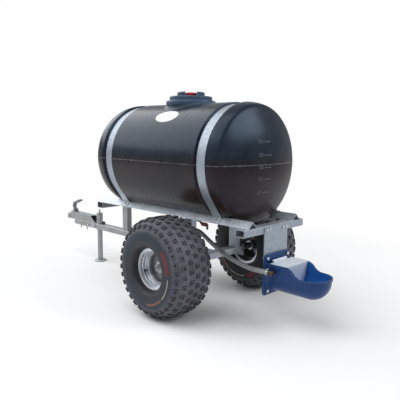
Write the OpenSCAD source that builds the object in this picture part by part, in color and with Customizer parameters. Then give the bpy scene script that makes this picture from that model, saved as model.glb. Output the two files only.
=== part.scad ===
// Wheeled water bowser: a plastic tank on a galvanised two-wheeled chassis,
// with a ball coupling and prop stand at the front and a drinking bowl at the rear.
// The front is -X, the rear is +X, the left side is -Y and the ground is z = 0.

/* [Tank] */
// Outside diameter of the barrel
tank_d = 670; // [640:5:700]
// Length over the two domed ends
tank_len = 1200; // [1190:2:1210]
// Length of the straight barrel
tank_straight = 904; // [894:2:914]
// Radius of the rounded shoulder between barrel and end
shoulder_r = 216; // [206:2:226]
// Radius of the domed ends
dome_r = 776; // [766:2:786]
// Wall of the tank
tank_wall = 7; // [5:0.5:9]
// Height of the moulded seam that runs round the middle
seam_h = 5; // [3:1:8]
// How far the seam stands proud
seam_proud = 2.5; // [1:0.5:4]

/* [Filler] */
// Diameter of the moulded neck
neck_d = 300; // [290:2:330]
// Rise of the neck above the top of the barrel
neck_rise = 18; // [14:1:26]
// Rounding of the neck's top edge
neck_round = 10; // [4:1:12]
// Diameter of the threaded collar that the lid turns on
collar_d = 232; // [224:1:236]
// Height of the collar
collar_h = 17; // [12:1:24]
// Clear diameter of the mouth
mouth_d = 205; // [180:1:212]
// Outside diameter of the lid
lid_d = 258; // [252:1:270]
// Thickness of the lid's top plate
lid_wall = 5; // [3:0.5:8]
// Rounding of the lid's top edge
lid_round = 8; // [3:0.5:9]
// Diameter of the grip on the lid
crown_d = 166; // [150:1:180]
// Height of the grip
crown_h = 26; // [18:1:34]
// Width of the slot through the grip
crown_slot = 68; // [68:1:80]
// Thickness of the lid's sealing ring
seal_t = 3; // [2:0.5:5]
// Diameter of the breather cap
breather_d = 66; // [50:1:66]
// Height of the breather cap
breather_h = 24; // [12:1:26]
// Diameter of the breather's stem
breather_stem_d = 24; // [14:1:30]

/* [Straps] */
// Width of a tank strap
strap_w = 60; // [40:1:70]
// Thickness of a strap
strap_t = 3; // [2:0.5:5]
// Depth of the channel in the barrel that a strap lies in
channel_depth = 13; // [8:0.5:15]
// Place of the front strap along the tank
strap_front_x = -398; // [-410:1:-300]
// Place of the rear strap along the tank
strap_rear_x = 420; // [300:1:420]
// Length of the bolted tab at each end of a strap
strap_tab = 34; // [30:1:36]
// Thread diameter of the strap bolts
strap_bolt_d = 10; // [8:1:12]

/* [Chassis] */
// Wide side of the chassis tube
tube_w = 60; // [54:1:70]
// Narrow side of the chassis tube
tube_h = 40; // [36:1:50]
// Wall of the chassis tube
tube_wall = 3; // [2:0.5:5]
// Outside corner radius of the chassis tube
tube_corner = 5; // [3.5:0.5:6]
// Height of the drawbar and axle beam above the ground, at their middle
beam_z = 272; // [262:1:282]
// Height of the top of the two crossbeams
deck_z = 519; // [500:1:540]
// Length of each leg of the rail angle
rail_leg = 50; // [46:1:54]
// Wall of the rail angle
rail_wall = 4; // [3:0.5:6]
// Place of each rail's ridge to the side of the middle
rail_y = 187; // [180:1:195]
// Front end of the rails, from the middle of the tank
rail_front_x = -700; // [-720:1:-680]
// Rear end of the rails, from the middle of the tank
rail_rear_x = 660; // [640:1:680]
// Width of the front crossbeam
front_beam_w = 444; // [440:2:480]
// Width of the rear crossbeam
rear_beam_w = 508; // [480:2:540]
// Front end of the drawbar, from the middle of the tank
drawbar_front_x = -1345; // [-1360:1:-1335]

/* [Axle] */
// Place of the axle behind the middle of the tank
axle_x = 200; // [180:1:220]
// Distance between the middles of the two tyres
track = 760; // [750:2:800]
// Length of the axle beam
axle_beam_w = 440; // [436:2:450]
// Thickness of the plate that closes each end of the axle beam
end_plate_t = 8; // [6:1:12]
// Diameter of the thick part of a stub axle
stub_d = 40; // [34:1:44]
// Diameter of the journal that carries the bearings
journal_d = 25; // [22:0.5:28]
// Diameter of the threaded end
thread_d = 20; // [14:0.5:21]
// Outside diameter of a wheel bearing
bearing_d = 52; // [48:0.5:56]
// Width of a wheel bearing
bearing_w = 15; // [12:0.5:18]

/* [Wheels] */
// Diameter of the tyre over its knobs
tyre_d = 550; // [540:2:560]
// Width of the tyre
tyre_w = 270; // [260:2:276]
// Height of the tread knobs
knob_h = 9; // [6:0.5:12]
// Size of a knob on the tread surface
knob_size = 23; // [18:0.5:26]
// Knobs in one row round the tyre
knob_count = 32; // [24:1:36]
// Thickness of the tyre carcass
carcass_t = 12; // [9:0.5:15]
// Diameter of the rim at its bead seat
rim_d = 203; // [200:1:206]
// Diameter of the rim flanges
flange_d = 230; // [224:1:236]
// Width of the rim over its flanges
rim_w = 180; // [172:2:184]
// Diameter of the rim's well
well_d = 168; // [160:1:176]
// Thickness of the rim's steel
rim_t = 3.5; // [2.5:0.25:5]
// Outside diameter of the hub tube
hub_d = 62; // [58:1:68]
// Length of the hub tube
hub_len = 84; // [70:1:96]
// Place of the hub's outer end, outward from the middle of the tyre
hub_out = 37; // [30:1:44]

/* [Coupling] */
// Diameter of the tow ball
ball_d = 50; // [48:1:51]
// Place of the ball's middle, from the middle of the tank
ball_x = -1433; // [-1440:1:-1428]
// Height of the ball's middle above the drawbar
ball_rise = 16; // [12:1:20]
// Wall of the ball cup
cup_wall = 10.5; // [8:0.5:12]
// Width of the pressed hood
hood_w = 56; // [52:1:60]
// Height of the hood above the drawbar
hood_h = 52; // [48:1:58]
// Wall of the hood
hood_wall = 4; // [3:0.5:5]
// Rear end of the hood, from the middle of the tank
hood_rear_x = -1056; // [-1066:1:-1054]
// Length of the sloped rear end of the hood
hood_slope = 62; // [40:1:80]
// Diameter of the lever's pivot pin
pivot_d = 10; // [8:0.5:12]
// Width of the lever
lever_w = 26; // [20:1:28]
// Depth of the lever's bar
lever_t = 17; // [12:1:20]
// Travel of the jaw that locks the ball
jaw_travel = 8; // [5:0.5:9]
// Thread diameter of the coupling bolts
coupling_bolt_d = 12; // [10:1:14]

/* [Prop stand] */
// Place of the prop stand, from the middle of the tank
prop_x = -1026; // [-1028:1:-980]
// Outside diameter of the clamp sleeve
sleeve_d = 46; // [44:0.5:48]
// Height of the sleeve's top above the drawbar
sleeve_rise = 81; // [60:1:100]
// Outside diameter of the sliding leg
leg_d = 38; // [34:0.5:39]
// Wall of the leg
leg_wall = 3; // [2:0.5:4]
// Diameter of the dished foot
foot_d = 95; // [80:1:120]
// Height of the dished foot
foot_h = 12; // [8:1:16]
// Diameter of the lock screw
lock_d = 10; // [8:0.5:11]

/* [Outlet] */
// Clear bore of the outlet
outlet_bore = 22; // [16:1:24]
// Diameter of the outlet's saddle under the tank
saddle_d = 76; // [64:1:90]
// Diameter of the valve body
valve_d = 48; // [44:1:54]
// Length of the valve body
valve_len = 46; // [44:1:56]
// Reach of the valve's lever
valve_reach = 112; // [95:1:120]

/* [Hose] */
// Outside diameter of the hose
hose_d = 26; // [24:0.5:28]
// Bore of the hose
hose_bore = 19; // [16:0.5:20]
// Sides of the hose
hose_sides = 12; // [8:1:12]

/* [Bowl] */
// Inside half width of the bowl, which is also the radius of its round floor
bowl_r = 91; // [86:1:96]
// Wall of the bowl
bowl_wall = 4; // [3:0.5:6]
// Length of the bowl from its flange to the middle of its round end
bowl_run = 223; // [200:1:240]
// Height of the middle of the round floor
bowl_z = 265; // [255:1:275]
// Height of the rim at the back
rim_back_z = 330; // [322:1:334]
// Height of the rim at the front
rim_front_z = 284; // [278:1:290]
// How far the rolled lip stands out
lip_out = 5; // [3:0.5:7]
// Depth of the rolled lip
lip_h = 10; // [6:1:14]
// Thickness of the bowl's flange
bowl_flange_t = 12; // [8:1:14]
// Width of the flange along its top edge
flange_top_w = 204; // [200:2:208]
// Width of the flange along its bottom edge
flange_bottom_w = 228; // [224:2:232]
// Height of the flange's top edge
flange_top_z = 371; // [366:1:380]
// Height of the flange's bottom edge
flange_bottom_z = 158; // [150:1:162]
// Thickness of the carrier plate
plate_t = 6; // [4:0.5:8]
// Width of the carrier plate
plate_w = 196; // [192:2:200]
// Thread diameter of the bowl's bolts
bowl_bolt_d = 10; // [8:1:12]
// Thickness of the cover's sheet
cover_t = 3; // [2:0.5:4]
// Length of the cover's top, front to back
cover_len = 116; // [108:1:122]
// Depth of the cover's front skirt
cover_drop = 118; // [90:1:125]
// Diameter of the float
float_d = 62; // [50:1:66]

/* [Hidden] */
$fn = 64;

// Clearances that serve the whole part
seat_gap = 0.3;
bolt_gap = 0.25;
run_gap = 0.05;
over = 2;

// Hexagon heads and nuts, as shares of the thread
bolt_head_share = 1.85;
bolt_height_share = 0.65;
nut_facets = 6;

// Colours
zinc = [0.72, 0.74, 0.76];
dark_zinc = [0.45, 0.47, 0.49];
black = [0.06, 0.06, 0.07];
rubber = [0.11, 0.11, 0.12];
blue = [0.09, 0.25, 0.52];
red = [0.75, 0.08, 0.06];
brass = [0.70, 0.55, 0.28];
pale = [0.86, 0.88, 0.89];
hose_grey = [0.55, 0.57, 0.56];

// Tank and rails
tank_r = tank_d / 2;
dome_mid = tank_len / 2 - dome_r;
dome_core_share = 0.6;
rail_rise = rail_leg * sin(45);
rail_fold = rail_wall / sin(45);
ridge_z = deck_z + rail_rise;
tank_z = ridge_z + sqrt(pow(tank_r + seat_gap, 2) - pow(rail_y, 2));
tank_top = tank_z + tank_r;
tank_bottom = tank_z - tank_r;
channel_side = 8;
channel_w = strap_w + 2 * channel_side;
channel_slope_share = 0.4;

// Drain plug under the rear of the barrel
drain_bore = 30;
drain_flange_d = 52;
drain_x = strap_rear_x - channel_w / 2 - drain_flange_d;
drain_flange_t = 5;
drain_cap_d = 38;
drain_cap_h = 14;
drain_cap_facets = 8;

// Filler stack, from the neck upwards
neck_top = tank_top + neck_rise;
neck_skirt_share = 0.3;
collar_top = neck_top + collar_h;
seal_z = collar_top + seat_gap;
lid_plate_z = seal_z + seal_t + seat_gap;
lid_top = lid_plate_z + lid_wall;
lid_thread_gap = 0.6;
lid_inner_d = collar_d + 2 * lid_thread_gap;
crown_top = lid_top + crown_h;
// The slot of the grip points to the rear left at rest
crown_turn = -43;
seal_w_share = 0.8;

// Chassis stations
beam_top = beam_z + tube_h / 2;
beam_bottom = beam_z - tube_h / 2;
deck_bottom = deck_z - tube_h;
front_beam_x = rail_front_x + tube_w / 2;
rear_beam_x = rail_rear_x - tube_w / 2;
post_gap = 0.2;

// Straps
strap_in = tank_r - channel_depth + seat_gap;
strap_mid = strap_in + strap_t / 2;
// The strap leaves the barrel and meets the rail's outer face this far below the ridge
tab_start = 11;
tab_lift = strap_t / 2 + seat_gap;
tab_y = rail_y + (tab_start + tab_lift) * cos(45);
tab_z = ridge_z + (tab_lift - tab_start) * sin(45);
tab_reach = norm([tab_y, tank_z - tab_z]);
wrap_end = atan2(tab_y, tank_z - tab_z) + acos(strap_mid / tab_reach);
strap_run = sqrt(pow(tab_reach, 2) - pow(strap_mid, 2));
strap_bolt_at_share = 0.56;

// Wheels
axle_z = tyre_d / 2;
wheel_y = track / 2;
rim_half = rim_w / 2;
seat_r = rim_d / 2;
flange_r = flange_d / 2;
well_r = well_d / 2;
well_half_share = 0.45;
well_half = rim_half * well_half_share;
disc_y_share = 0.2;
disc_y = rim_half * disc_y_share;
disc_t = 5;
disc_hole_d = 11;
disc_holes = 4;
disc_hole_share = 0.66;
tread_r = tyre_d / 2 - knob_h;
tread_half = tyre_w / 2;
tread_corner = 60;
bead_corner = 40;
bead_gap = 0.3;
bead_w = 15;
bead_start = flange_r + rim_t;
// Crown rows across the tread, as shares of half the tyre's width
row_shares = [-0.62, -0.31, 0, 0.31, 0.62];
shoulder_lean = 44;
knob_root = 5;
tyre_valve_d = 9;
tyre_valve_len = 26;
tyre_valve_turn = 250;
hub_in = hub_out - hub_len;
stub_shoulder_y = wheel_y + hub_in - 2 * seat_gap;
washer_t = 4;
washer_d = 40;
nut_d = 34;
nut_h = 15;
axle_tip_y = wheel_y + hub_out + washer_t + nut_h + 2 * over;
end_plate_w = 92;
end_plate_h = 76;
end_plate_corner = 8;

// Coupling
ball_r = ball_d / 2;
ball_gap = 0.2;
socket_r = ball_r + ball_gap;
cup_r = socket_r + cup_wall;
ball_z = beam_top + ball_rise;
cup_mouth_z = beam_top - hood_wall;
hood_top = beam_top + hood_h;
hood_front_x = ball_x + (socket_r + cup_r) / 2;
base_t = 5;
base_rear_share = 0.62;
base_rear_x = drawbar_front_x + (hood_rear_x - drawbar_front_x) * base_rear_share;
pivot_x = ball_x + cup_r + lever_t;
ear_t = 5;
ear_gap = 1;
ear_r = 12;
pivot_z = hood_top + ear_r;
eye_r = 10;
lever_neck_t = lever_t * 2 / 3;
pin_head_d = 16;
// Bends of the lever from its pivot, as shares of the hood's height
lever_bend_shares = [[0, 0], [-0.25, 0.68], [-0.04, 1.12], [1.5, 1.66]];
jaw_h = 18;
jaw_w = 24;
jaw_len = 26;
jaw_play = 1.5;
shelf_t = 4;
shelf_top = beam_top + shelf_t - hood_wall;
shelf_front_x = ball_x + socket_r + over;
shelf_rear_x = shelf_front_x + jaw_len + 2 * jaw_travel;
jaw_x = ball_x + socket_r + seat_gap;
// The base is held down by two upright bolts, and two more cross the drawbar behind them
bolt_in = 48;
bolt_pitch = 88;
bolt_tail = 32;
bolt_front_x = drawbar_front_x + bolt_in;
bolt_rear_x = bolt_front_x + bolt_pitch;
cross_in = 203;
cross_pitch = 86;
cross_front_x = drawbar_front_x + cross_in;
cross_rear_x = cross_front_x + cross_pitch;

// Prop stand
sleeve_r = sleeve_d / 2;
leg_r = leg_d / 2;
leg_gap = 0.3;
weld_gap = 0.2;
sleeve_foot = 8;
sleeve_bottom = beam_bottom - sleeve_foot;
sleeve_top = beam_top + sleeve_rise;
leg_top = sleeve_top - 2 * over;
handle_d = 12;
handle_h = 34;
handle_plug_t = 6;
lock_z = beam_top + lock_d + over;
lock_boss_d = 2 * lock_d;
lock_boss_len = 14;
lock_len = 30;
knob_d = 20;
knob_len = 24;
knob_flutes = 10;
flute_d = 4;

// Outlet, valve and hose
outlet_x = 0;
saddle_h = 16;
nipple_d = 34;
nipple_drop = 8;
valve_top = tank_bottom - saddle_h - nipple_drop;
valve_mid = valve_top - valve_len / 2;
valve_bottom = valve_top - valve_len;
ball_seat_d = 36;
seat_clear = 0.2;
stem_d = 11;
stem_boss_d = 24;
stem_boss_len = 12;
lever_bar_t = 4;
lever_bar_w = 16;
lever_hub_d = 24;
lever_y = valve_d / 2 + stem_boss_len + over;
// Crank of the valve lever, as shares of its reach, from the stem
crank_shares = [[0, 0], [0.36, 0], [0.5, -0.16], [0.94, -0.16], [0.94, -0.36]];
grip_shares = [0.54, 0.9];
grip_w = 24;
grip_t = 12;
tail_z = 396;
tail_d = 32;
barb_len = 34;
barb_wall = 2.5;
barb_bore = hose_bore - 2 * barb_wall;
tail_reach = 22;
hose_r = hose_d / 2;
// The flats of the hose's bore clear the barbs
hose_in_r = (hose_bore / 2 + bolt_gap) / cos(180 / hose_sides);
clip_w = 11;
clip_t = 1.2;
clip_screw_d = 8;
clip_screw_len = 16;
// The hose's middle line from the valve's tail to the bowl's inlet, in the tank's own frame
hose_route = [
    [22, 0, 396], [60, 0, 396], [84, -1.5, 392], [108, -5, 384], [135, -9, 373],
    [162, -13, 361.5], [190, -17, 350], [222, -22, 338], [256, -28, 326.5], [294, -35, 315],
    [334, -43, 304.5], [370, -50, 297], [404, -57, 291.5], [440, -65, 287], [476, -73, 284],
    [510, -81, 282], [544, -89.5, 281], [578, -98.5, 282], [608, -107, 284], [634, -115, 287],
    [656, -121, 289.5], [676, -124, 291], [716, -124, 291]
];
inlet = hose_route[len(hose_route) - 1];
inlet_z = inlet[2];

// Bowl and what carries it
plate_x = rail_rear_x;
flange_x = plate_x + plate_t;
bowl_x = flange_x + bowl_flange_t;
bowl_end_x = bowl_x + bowl_run;
bowl_out_r = bowl_r + bowl_wall;
lip_x = bowl_end_x + bowl_out_r + lip_out;
plate_top = deck_z - 2 * over;
plate_bottom_drop = 6;
plate_bottom = flange_bottom_z - plate_bottom_drop;
plate_bolt_y_shares = [-0.84, -0.6, 0.6, 0.84];
bowl_bolt_y = 86;
bowl_bolt_top = 352;
bowl_bolt_bottom = 178;
flange_corner = 14;
dip_start_share = 0.54;
dip_end_share = 0.98;
skirt_gap = 1.5;
cover_back = 14;
cover_x = bowl_x + cover_back;
cover_z = rim_back_z + seat_gap;
cover_lean = 8;
knuckle_d = 13;
pin_d = 6;
knuckle_len = 110;
hinge_x = cover_x;
hinge_z = cover_z + knuckle_d / 2;
ear_len = 8;
ear_clear = 1;
panel_depth = 2.5;
panel_edge = 4;
panel_w = 2 * (bowl_bolt_y - bowl_bolt_d * bolt_head_share);
panel_bottom = hinge_z + knuckle_d / 2 + panel_edge;
panel_top = flange_top_z - panel_edge;
inlet_d = 26;
inlet_hole_d = 18;
elbow_reach = 14;
inlet_elbow_x = inlet[0] + elbow_reach;
valve_nut_d = 34;
float_valve_d = 24;
float_valve_len = 30;
fork_reach = 12;
float_pivot_y = -bowl_r + float_valve_len + fork_reach;
float_pivot_d = 5;
float_len = 74;
float_dip = 22;
arm_d = 6;
fork_t = 3;
fork_half = arm_d / 2 + fork_t / 2 + 2 * seat_gap;

// Overall length, and the shift that puts the origin under the middle of it
nose_x = ball_x - cup_r;
frame_shift = -(nose_x + lip_x) / 2;

// Shared shapes

module in_frame() {
    translate([frame_shift, 0, 0]) children();
}

// Mirrors what is drawn on the right side when the side is left
module on_side(side) {
    if (side < 0) mirror([0, 1, 0]) children();
    else children();
}

// Extrudes a YZ outline along X
module along_x(start, end) {
    translate([start, 0, 0]) rotate([90, 0, 90]) linear_extrude(height = end - start) children();
}

// Extrudes an XZ outline along Y
module along_y(start, end) {
    translate([0, end, 0]) rotate([90, 0, 0]) linear_extrude(height = end - start) children();
}

// Turns a half section, radius and height, about the X axis
module spun_x() {
    rotate([0, 90, 0]) rotate_extrude($fn = 128) children();
}

// Turns a half section about the Y axis
module spun_y() {
    rotate([-90, 0, 0]) rotate_extrude($fn = 128) children();
}

module rod_x(d, start, end) {
    translate([start, 0, 0]) rotate([0, 90, 0]) cylinder(d = d, h = end - start);
}

module rod_y(d, start, end) {
    translate([0, start, 0]) rotate([-90, 0, 0]) cylinder(d = d, h = end - start);
}

module rod_z(d, start, end) {
    translate([0, 0, start]) cylinder(d = d, h = end - start);
}

module rounded(w, h, r) {
    square([w - 2 * r, h], center = true);
    square([w, h - 2 * r], center = true);
    for (x = [-1, 1], y = [-1, 1])
        translate([x * (w / 2 - r), y * (h / 2 - r)]) circle(r = r);
}

module tube_section(w, h) {
    difference() {
        rounded(w, h, tube_corner);
        rounded(w - 2 * tube_wall, h - 2 * tube_wall, tube_corner - tube_wall);
    }
}

// A bar with round ends from one point of an outline to another
module bar(from, to, w) {
    run = to - from;
    translate(from) rotate(atan2(run[1], run[0])) {
        translate([0, -w / 2]) square([norm(run), w]);
        circle(d = w);
        translate([norm(run), 0]) circle(d = w);
    }
}

// A hexagon bolt along +X with its head's underside at zero and its shank behind
module bolt_x(d, shank, nut_at) {
    head_d = d * bolt_head_share;
    head_h = d * bolt_height_share;
    rod_x(head_d, 0, head_h, $fn = nut_facets);
    rod_x(d, -shank, over);
    rod_x(head_d, -nut_at - head_h, -nut_at, $fn = nut_facets);
}

// Tank

module tank_section(grow) {
    core_r = tank_r - shoulder_r * dome_core_share;
    difference() {
        intersection() {
            union() {
                translate([0, -tank_straight / 2]) square([tank_r + grow, tank_straight]);
                translate([0, -tank_len / 2 - grow]) square([core_r, tank_len + 2 * grow]);
                for (end = [-1, 1])
                    translate([tank_r - shoulder_r, end * tank_straight / 2])
                        circle(r = shoulder_r + grow, $fn = 256);
            }
            translate([0, dome_mid]) circle(r = dome_r + grow, $fn = 256);
            translate([0, -dome_mid]) circle(r = dome_r + grow, $fn = 256);
            translate([0, -tank_len]) square([tank_d, 2 * tank_len]);
        }
        for (x = [strap_front_x, strap_rear_x]) translate([tank_r + grow, x]) channel_section(grow);
    }
}

// The channel under a strap, measured from the barrel's surface
module channel_section(grow) {
    floor_w = channel_w / 2 - grow;
    mouth_w = floor_w + channel_depth * channel_slope_share;
    polygon([
        [-channel_depth, -floor_w], [over, -mouth_w], [over, mouth_w], [-channel_depth, floor_w]
    ]);
}

module tank_solid(grow) {
    translate([0, 0, tank_z]) spun_x() tank_section(grow);
}

module round_post(r, bottom, top, edge) {
    rotate_extrude($fn = 128) {
        translate([0, bottom]) square([r, top - edge - bottom]);
        translate([0, bottom]) square([r - edge, top - bottom]);
        translate([r - edge, top - edge]) circle(r = edge);
    }
}

module tank() {
    neck_base = tank_top - neck_d * neck_skirt_share;
    color(black) difference() {
        union() {
            tank_solid(0);
            // The seam stops short of the straps' channels
            intersection() {
                tank_solid(seam_proud);
                translate([0, 0, tank_z]) difference() {
                    cube([2 * tank_len, 2 * tank_d, seam_h], center = true);
                    for (x = [strap_front_x, strap_rear_x])
                        translate([x, 0, 0])
                            cube([channel_w + 2 * channel_depth, 3 * tank_d, 2 * seam_h], center = true);
                }
            }
            round_post(neck_d / 2, neck_base, neck_top, neck_round);
            rod_z(collar_d, neck_base, collar_top);
        }
        tank_solid(-tank_wall);
        rod_z(neck_d - 2 * tank_wall, neck_base - over, neck_top - tank_wall);
        rod_z(mouth_d, neck_base, collar_top + over);
        translate([outlet_x, 0, tank_bottom]) rod_z(outlet_bore, -over, tank_wall + over);
        translate([drain_x, 0, tank_bottom]) rod_z(drain_bore, -over, tank_wall + over);
    }
}

// What fits under the barrel is cut to its curve
module barrel_cut() {
    translate([0, 0, tank_z]) rod_x(tank_d + 2 * seat_gap, -tank_len, tank_len, $fn = 512);
}

module drain_plug() {
    flange_z = tank_bottom - drain_flange_t;
    color(black) {
        difference() {
            translate([drain_x, 0, 0]) rod_z(drain_flange_d, flange_z, tank_bottom + over);
            barrel_cut();
        }
        translate([drain_x, 0, 0]) {
            rod_z(drain_bore - 2 * bolt_gap, flange_z, tank_bottom + tank_wall);
            rod_z(drain_cap_d, flange_z - drain_cap_h, flange_z, $fn = drain_cap_facets);
        }
    }
}

// Lid with its grip, sealing ring and breather

module lid() {
    skirt_bottom = neck_top + seat_gap;
    color(black) difference() {
        union() {
            round_post(lid_d / 2, skirt_bottom, lid_top, lid_round);
            difference() {
                round_post(crown_d / 2, lid_plate_z, crown_top, lid_round);
                translate([0, 0, lid_top]) rotate([0, 0, crown_turn])
                    translate([-lid_d, -crown_slot / 2, 0]) cube([2 * lid_d, crown_slot, crown_h + over]);
            }
        }
        rod_z(lid_inner_d, skirt_bottom - over, lid_plate_z);
        rod_z(breather_stem_d + 2 * bolt_gap, lid_plate_z - over, lid_top + over);
    }
}

module lid_seal() {
    inner_d = mouth_d + (collar_d - mouth_d) * (1 - seal_w_share);
    color(rubber) difference() {
        rod_z(collar_d, seal_z, seal_z + seal_t);
        rod_z(inner_d, seal_z - over, seal_z + seal_t + over);
    }
}

module breather() {
    stem_end = lid_plate_z - over / 2;
    vent_d = breather_stem_d / 3;
    color(red) difference() {
        union() {
            round_post(breather_d / 2, lid_top, lid_top + breather_h, lid_round);
            rod_z(breather_stem_d, stem_end, lid_top + over);
        }
        rod_z(vent_d, stem_end - over, lid_top + breather_h / 2);
    }
}

// Straps

module strap_section() {
    // The wrap over the top of the barrel
    difference() {
        translate([0, tank_z]) circle(r = strap_in + strap_t, $fn = 256);
        translate([0, tank_z]) circle(r = strap_in, $fn = 256);
        // Cuts away the ring below the two tangent points
        translate([0, tank_z]) scale(2 * tank_d) polygon([
            [0, 0], [-sin(wrap_end), -cos(wrap_end)], [sin(wrap_end), -cos(wrap_end)]
        ]);
    }
    for (side = [-1, 1])
        mirror([side < 0 ? 1 : 0, 0]) translate([tab_y, tab_z]) {
            // The straight run down to the rail
            rotate(wrap_end) translate([0, -strap_t / 2]) square([strap_run + over, strap_t]);
            // The tab on the rail's outer face
            rotate(-45) translate([0, -strap_t / 2]) square([strap_tab, strap_t]);
            circle(d = strap_t);
        }
}

module strap(x) {
    color(zinc) difference() {
        along_x(x - strap_w / 2, x + strap_w / 2) strap_section();
        for (side = [-1, 1]) strap_bolt_place(x, side) strap_hole(strap_bolt_d + 2 * bolt_gap);
    }
}

// Puts a bolt's axis, along +X, square to the rail's outer face
module strap_bolt_place(x, side) {
    at = tab_start + (strap_tab - tab_start) * strap_bolt_at_share;
    on_side(side) translate([x, rail_y + at * cos(45), ridge_z - at * sin(45)])
        rotate([45, 0, 0]) rotate([0, 0, 90]) children();
}

module strap_hole(d) {
    rod_x(d, -rail_leg / 2, rail_leg / 2);
}

module strap_bolts() {
    head_lift = strap_t + 2 * seat_gap;
    color(zinc) for (x = [strap_front_x, strap_rear_x], side = [-1, 1])
        strap_bolt_place(x, side) translate([head_lift, 0, 0])
            bolt_x(strap_bolt_d, 2 * strap_bolt_d, rail_wall + head_lift + seat_gap);
}

// Chassis

module rail(side) {
    color(zinc) difference() {
        along_x(rail_front_x, rail_rear_x) translate([side * rail_y, ridge_z]) polygon([
            [0, 0], [-rail_rise, -rail_rise], [rail_fold - rail_rise, -rail_rise],
            [0, -rail_fold], [rail_rise - rail_fold, -rail_rise], [rail_rise, -rail_rise]
        ]);
        for (x = [strap_front_x, strap_rear_x])
            strap_bolt_place(x, side) strap_hole(strap_bolt_d + 2 * bolt_gap);
        // Spare hole between the rear post and the rear strap
        strap_bolt_place((axle_x + strap_rear_x) / 2 - strap_w, side) strap_hole(strap_bolt_d);
    }
}

module front_crossbeam() {
    color(zinc) along_y(-front_beam_w / 2, front_beam_w / 2)
        translate([front_beam_x, deck_z - tube_h / 2]) tube_section(tube_w, tube_h);
}

module rear_crossbeam() {
    color(zinc) difference() {
        along_y(-rear_beam_w / 2, rear_beam_w / 2)
            translate([rear_beam_x, deck_z - tube_h / 2]) tube_section(tube_w, tube_h);
        for (share = plate_bolt_y_shares)
            translate([rail_rear_x, share * plate_w / 2, deck_z - tube_h / 2])
                rod_x(bowl_bolt_d + 2 * bolt_gap, -tube_w / 2, over);
    }
}

module front_post() {
    color(zinc) translate([front_beam_x, 0, beam_top])
        linear_extrude(height = deck_bottom - beam_top) tube_section(tube_w, tube_h);
}

// The top of a rear post is mitred to fit inside the rail
module rear_post(side) {
    peak = ridge_z - rail_fold - post_gap;
    color(zinc) translate([0, side * rail_y, 0]) intersection() {
        translate([axle_x, 0, beam_top])
            linear_extrude(height = peak - beam_top) tube_section(tube_w, tube_h);
        along_x(axle_x - tube_w, axle_x + tube_w) polygon([
            [-tube_h, beam_top - over], [tube_h, beam_top - over],
            [tube_h, peak - tube_h], [0, peak], [-tube_h, peak - tube_h]
        ]);
    }
}

module drawbar() {
    color(zinc) difference() {
        along_x(drawbar_front_x, axle_x - tube_w / 2) translate([0, beam_z]) tube_section(tube_w, tube_h);
        translate([prop_x, 0, 0]) rod_z(sleeve_d + 2 * weld_gap, beam_bottom - over, beam_top + over);
        for (x = [bolt_front_x, bolt_rear_x])
            translate([x, 0, 0]) rod_z(coupling_bolt_d + 2 * bolt_gap, beam_bottom - over, beam_top + over);
        for (x = [cross_front_x, cross_rear_x])
            translate([x, 0, beam_z]) rod_y(coupling_bolt_d + 2 * bolt_gap, -tube_w, tube_w);
    }
}

module axle_beam() {
    color(zinc) along_y(-axle_beam_w / 2, axle_beam_w / 2)
        translate([axle_x, beam_z]) tube_section(tube_w, tube_h);
}

// Axle ends

module stub_axle(side) {
    plate_y = axle_beam_w / 2;
    color(dark_zinc) on_side(side) translate([axle_x, 0, axle_z]) {
        along_y(plate_y, plate_y + end_plate_t)
            translate([0, beam_z - axle_z]) rounded(end_plate_w, end_plate_h, end_plate_corner);
        rod_y(stub_d, plate_y, stub_shoulder_y);
        rod_y(journal_d, plate_y, wheel_y + hub_out);
        rod_y(thread_d, plate_y, axle_tip_y);
    }
}

module axle_nut(side) {
    washer_y = wheel_y + hub_out + 2 * seat_gap;
    nut_y = washer_y + washer_t;
    color(zinc) on_side(side) translate([axle_x, 0, axle_z]) difference() {
        union() {
            rod_y(washer_d, washer_y, nut_y);
            rod_y(nut_d, nut_y, nut_y + nut_h, $fn = nut_facets);
        }
        rod_y(thread_d + 2 * run_gap, washer_y - over, nut_y + nut_h + over);
    }
}

module bearings(side) {
    color(dark_zinc) on_side(side) translate([axle_x, wheel_y, axle_z])
        for (y = [hub_in, hub_out - bearing_w]) difference() {
            rod_y(bearing_d, y, y + bearing_w);
            rod_y(journal_d + 2 * run_gap, y - over, y + bearing_w + over);
        }
}

// Wheels

module rim_half_section() {
    // Flange lip, bead seat, step down and the well, from outside in
    translate([seat_r - rim_t, rim_half - rim_t]) square([flange_r - seat_r + rim_t, rim_t]);
    translate([seat_r - rim_t, well_half]) square([rim_t, rim_half - well_half]);
    translate([well_r - rim_t, well_half]) square([seat_r - well_r + rim_t, rim_t]);
    translate([well_r - rim_t, 0]) square([rim_t, well_half + rim_t]);
}

module rim(side) {
    color(zinc) on_side(side) translate([axle_x, wheel_y, axle_z]) difference() {
        spun_y() {
            rim_half_section();
            mirror([0, 1]) rim_half_section();
            // Disc and hub tube
            translate([bearing_d / 2, disc_y - disc_t]) square([well_r - bearing_d / 2, disc_t]);
            translate([bearing_d / 2, hub_in]) square([(hub_d - bearing_d) / 2, hub_len]);
        }
        rod_y(bearing_d + 2 * run_gap, hub_in - over, hub_out + over);
        for (i = [0 : disc_holes - 1]) rotate([0, i * 360 / disc_holes, 0])
            translate([well_r * disc_hole_share, 0, 0])
                rod_y(disc_hole_d, disc_y - disc_t - over, disc_y + over);
        tyre_valve_place() rod_z(tyre_valve_d + 2 * bolt_gap, -tyre_valve_len, tyre_valve_len);
    }
}

// Puts a valve's axis, along +Z outward, on the outer bead seat of the rim
module tyre_valve_place() {
    rotate([0, tyre_valve_turn, 0]) translate([0, (well_half + rim_half) / 2, seat_r - rim_t]) children();
}

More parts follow.
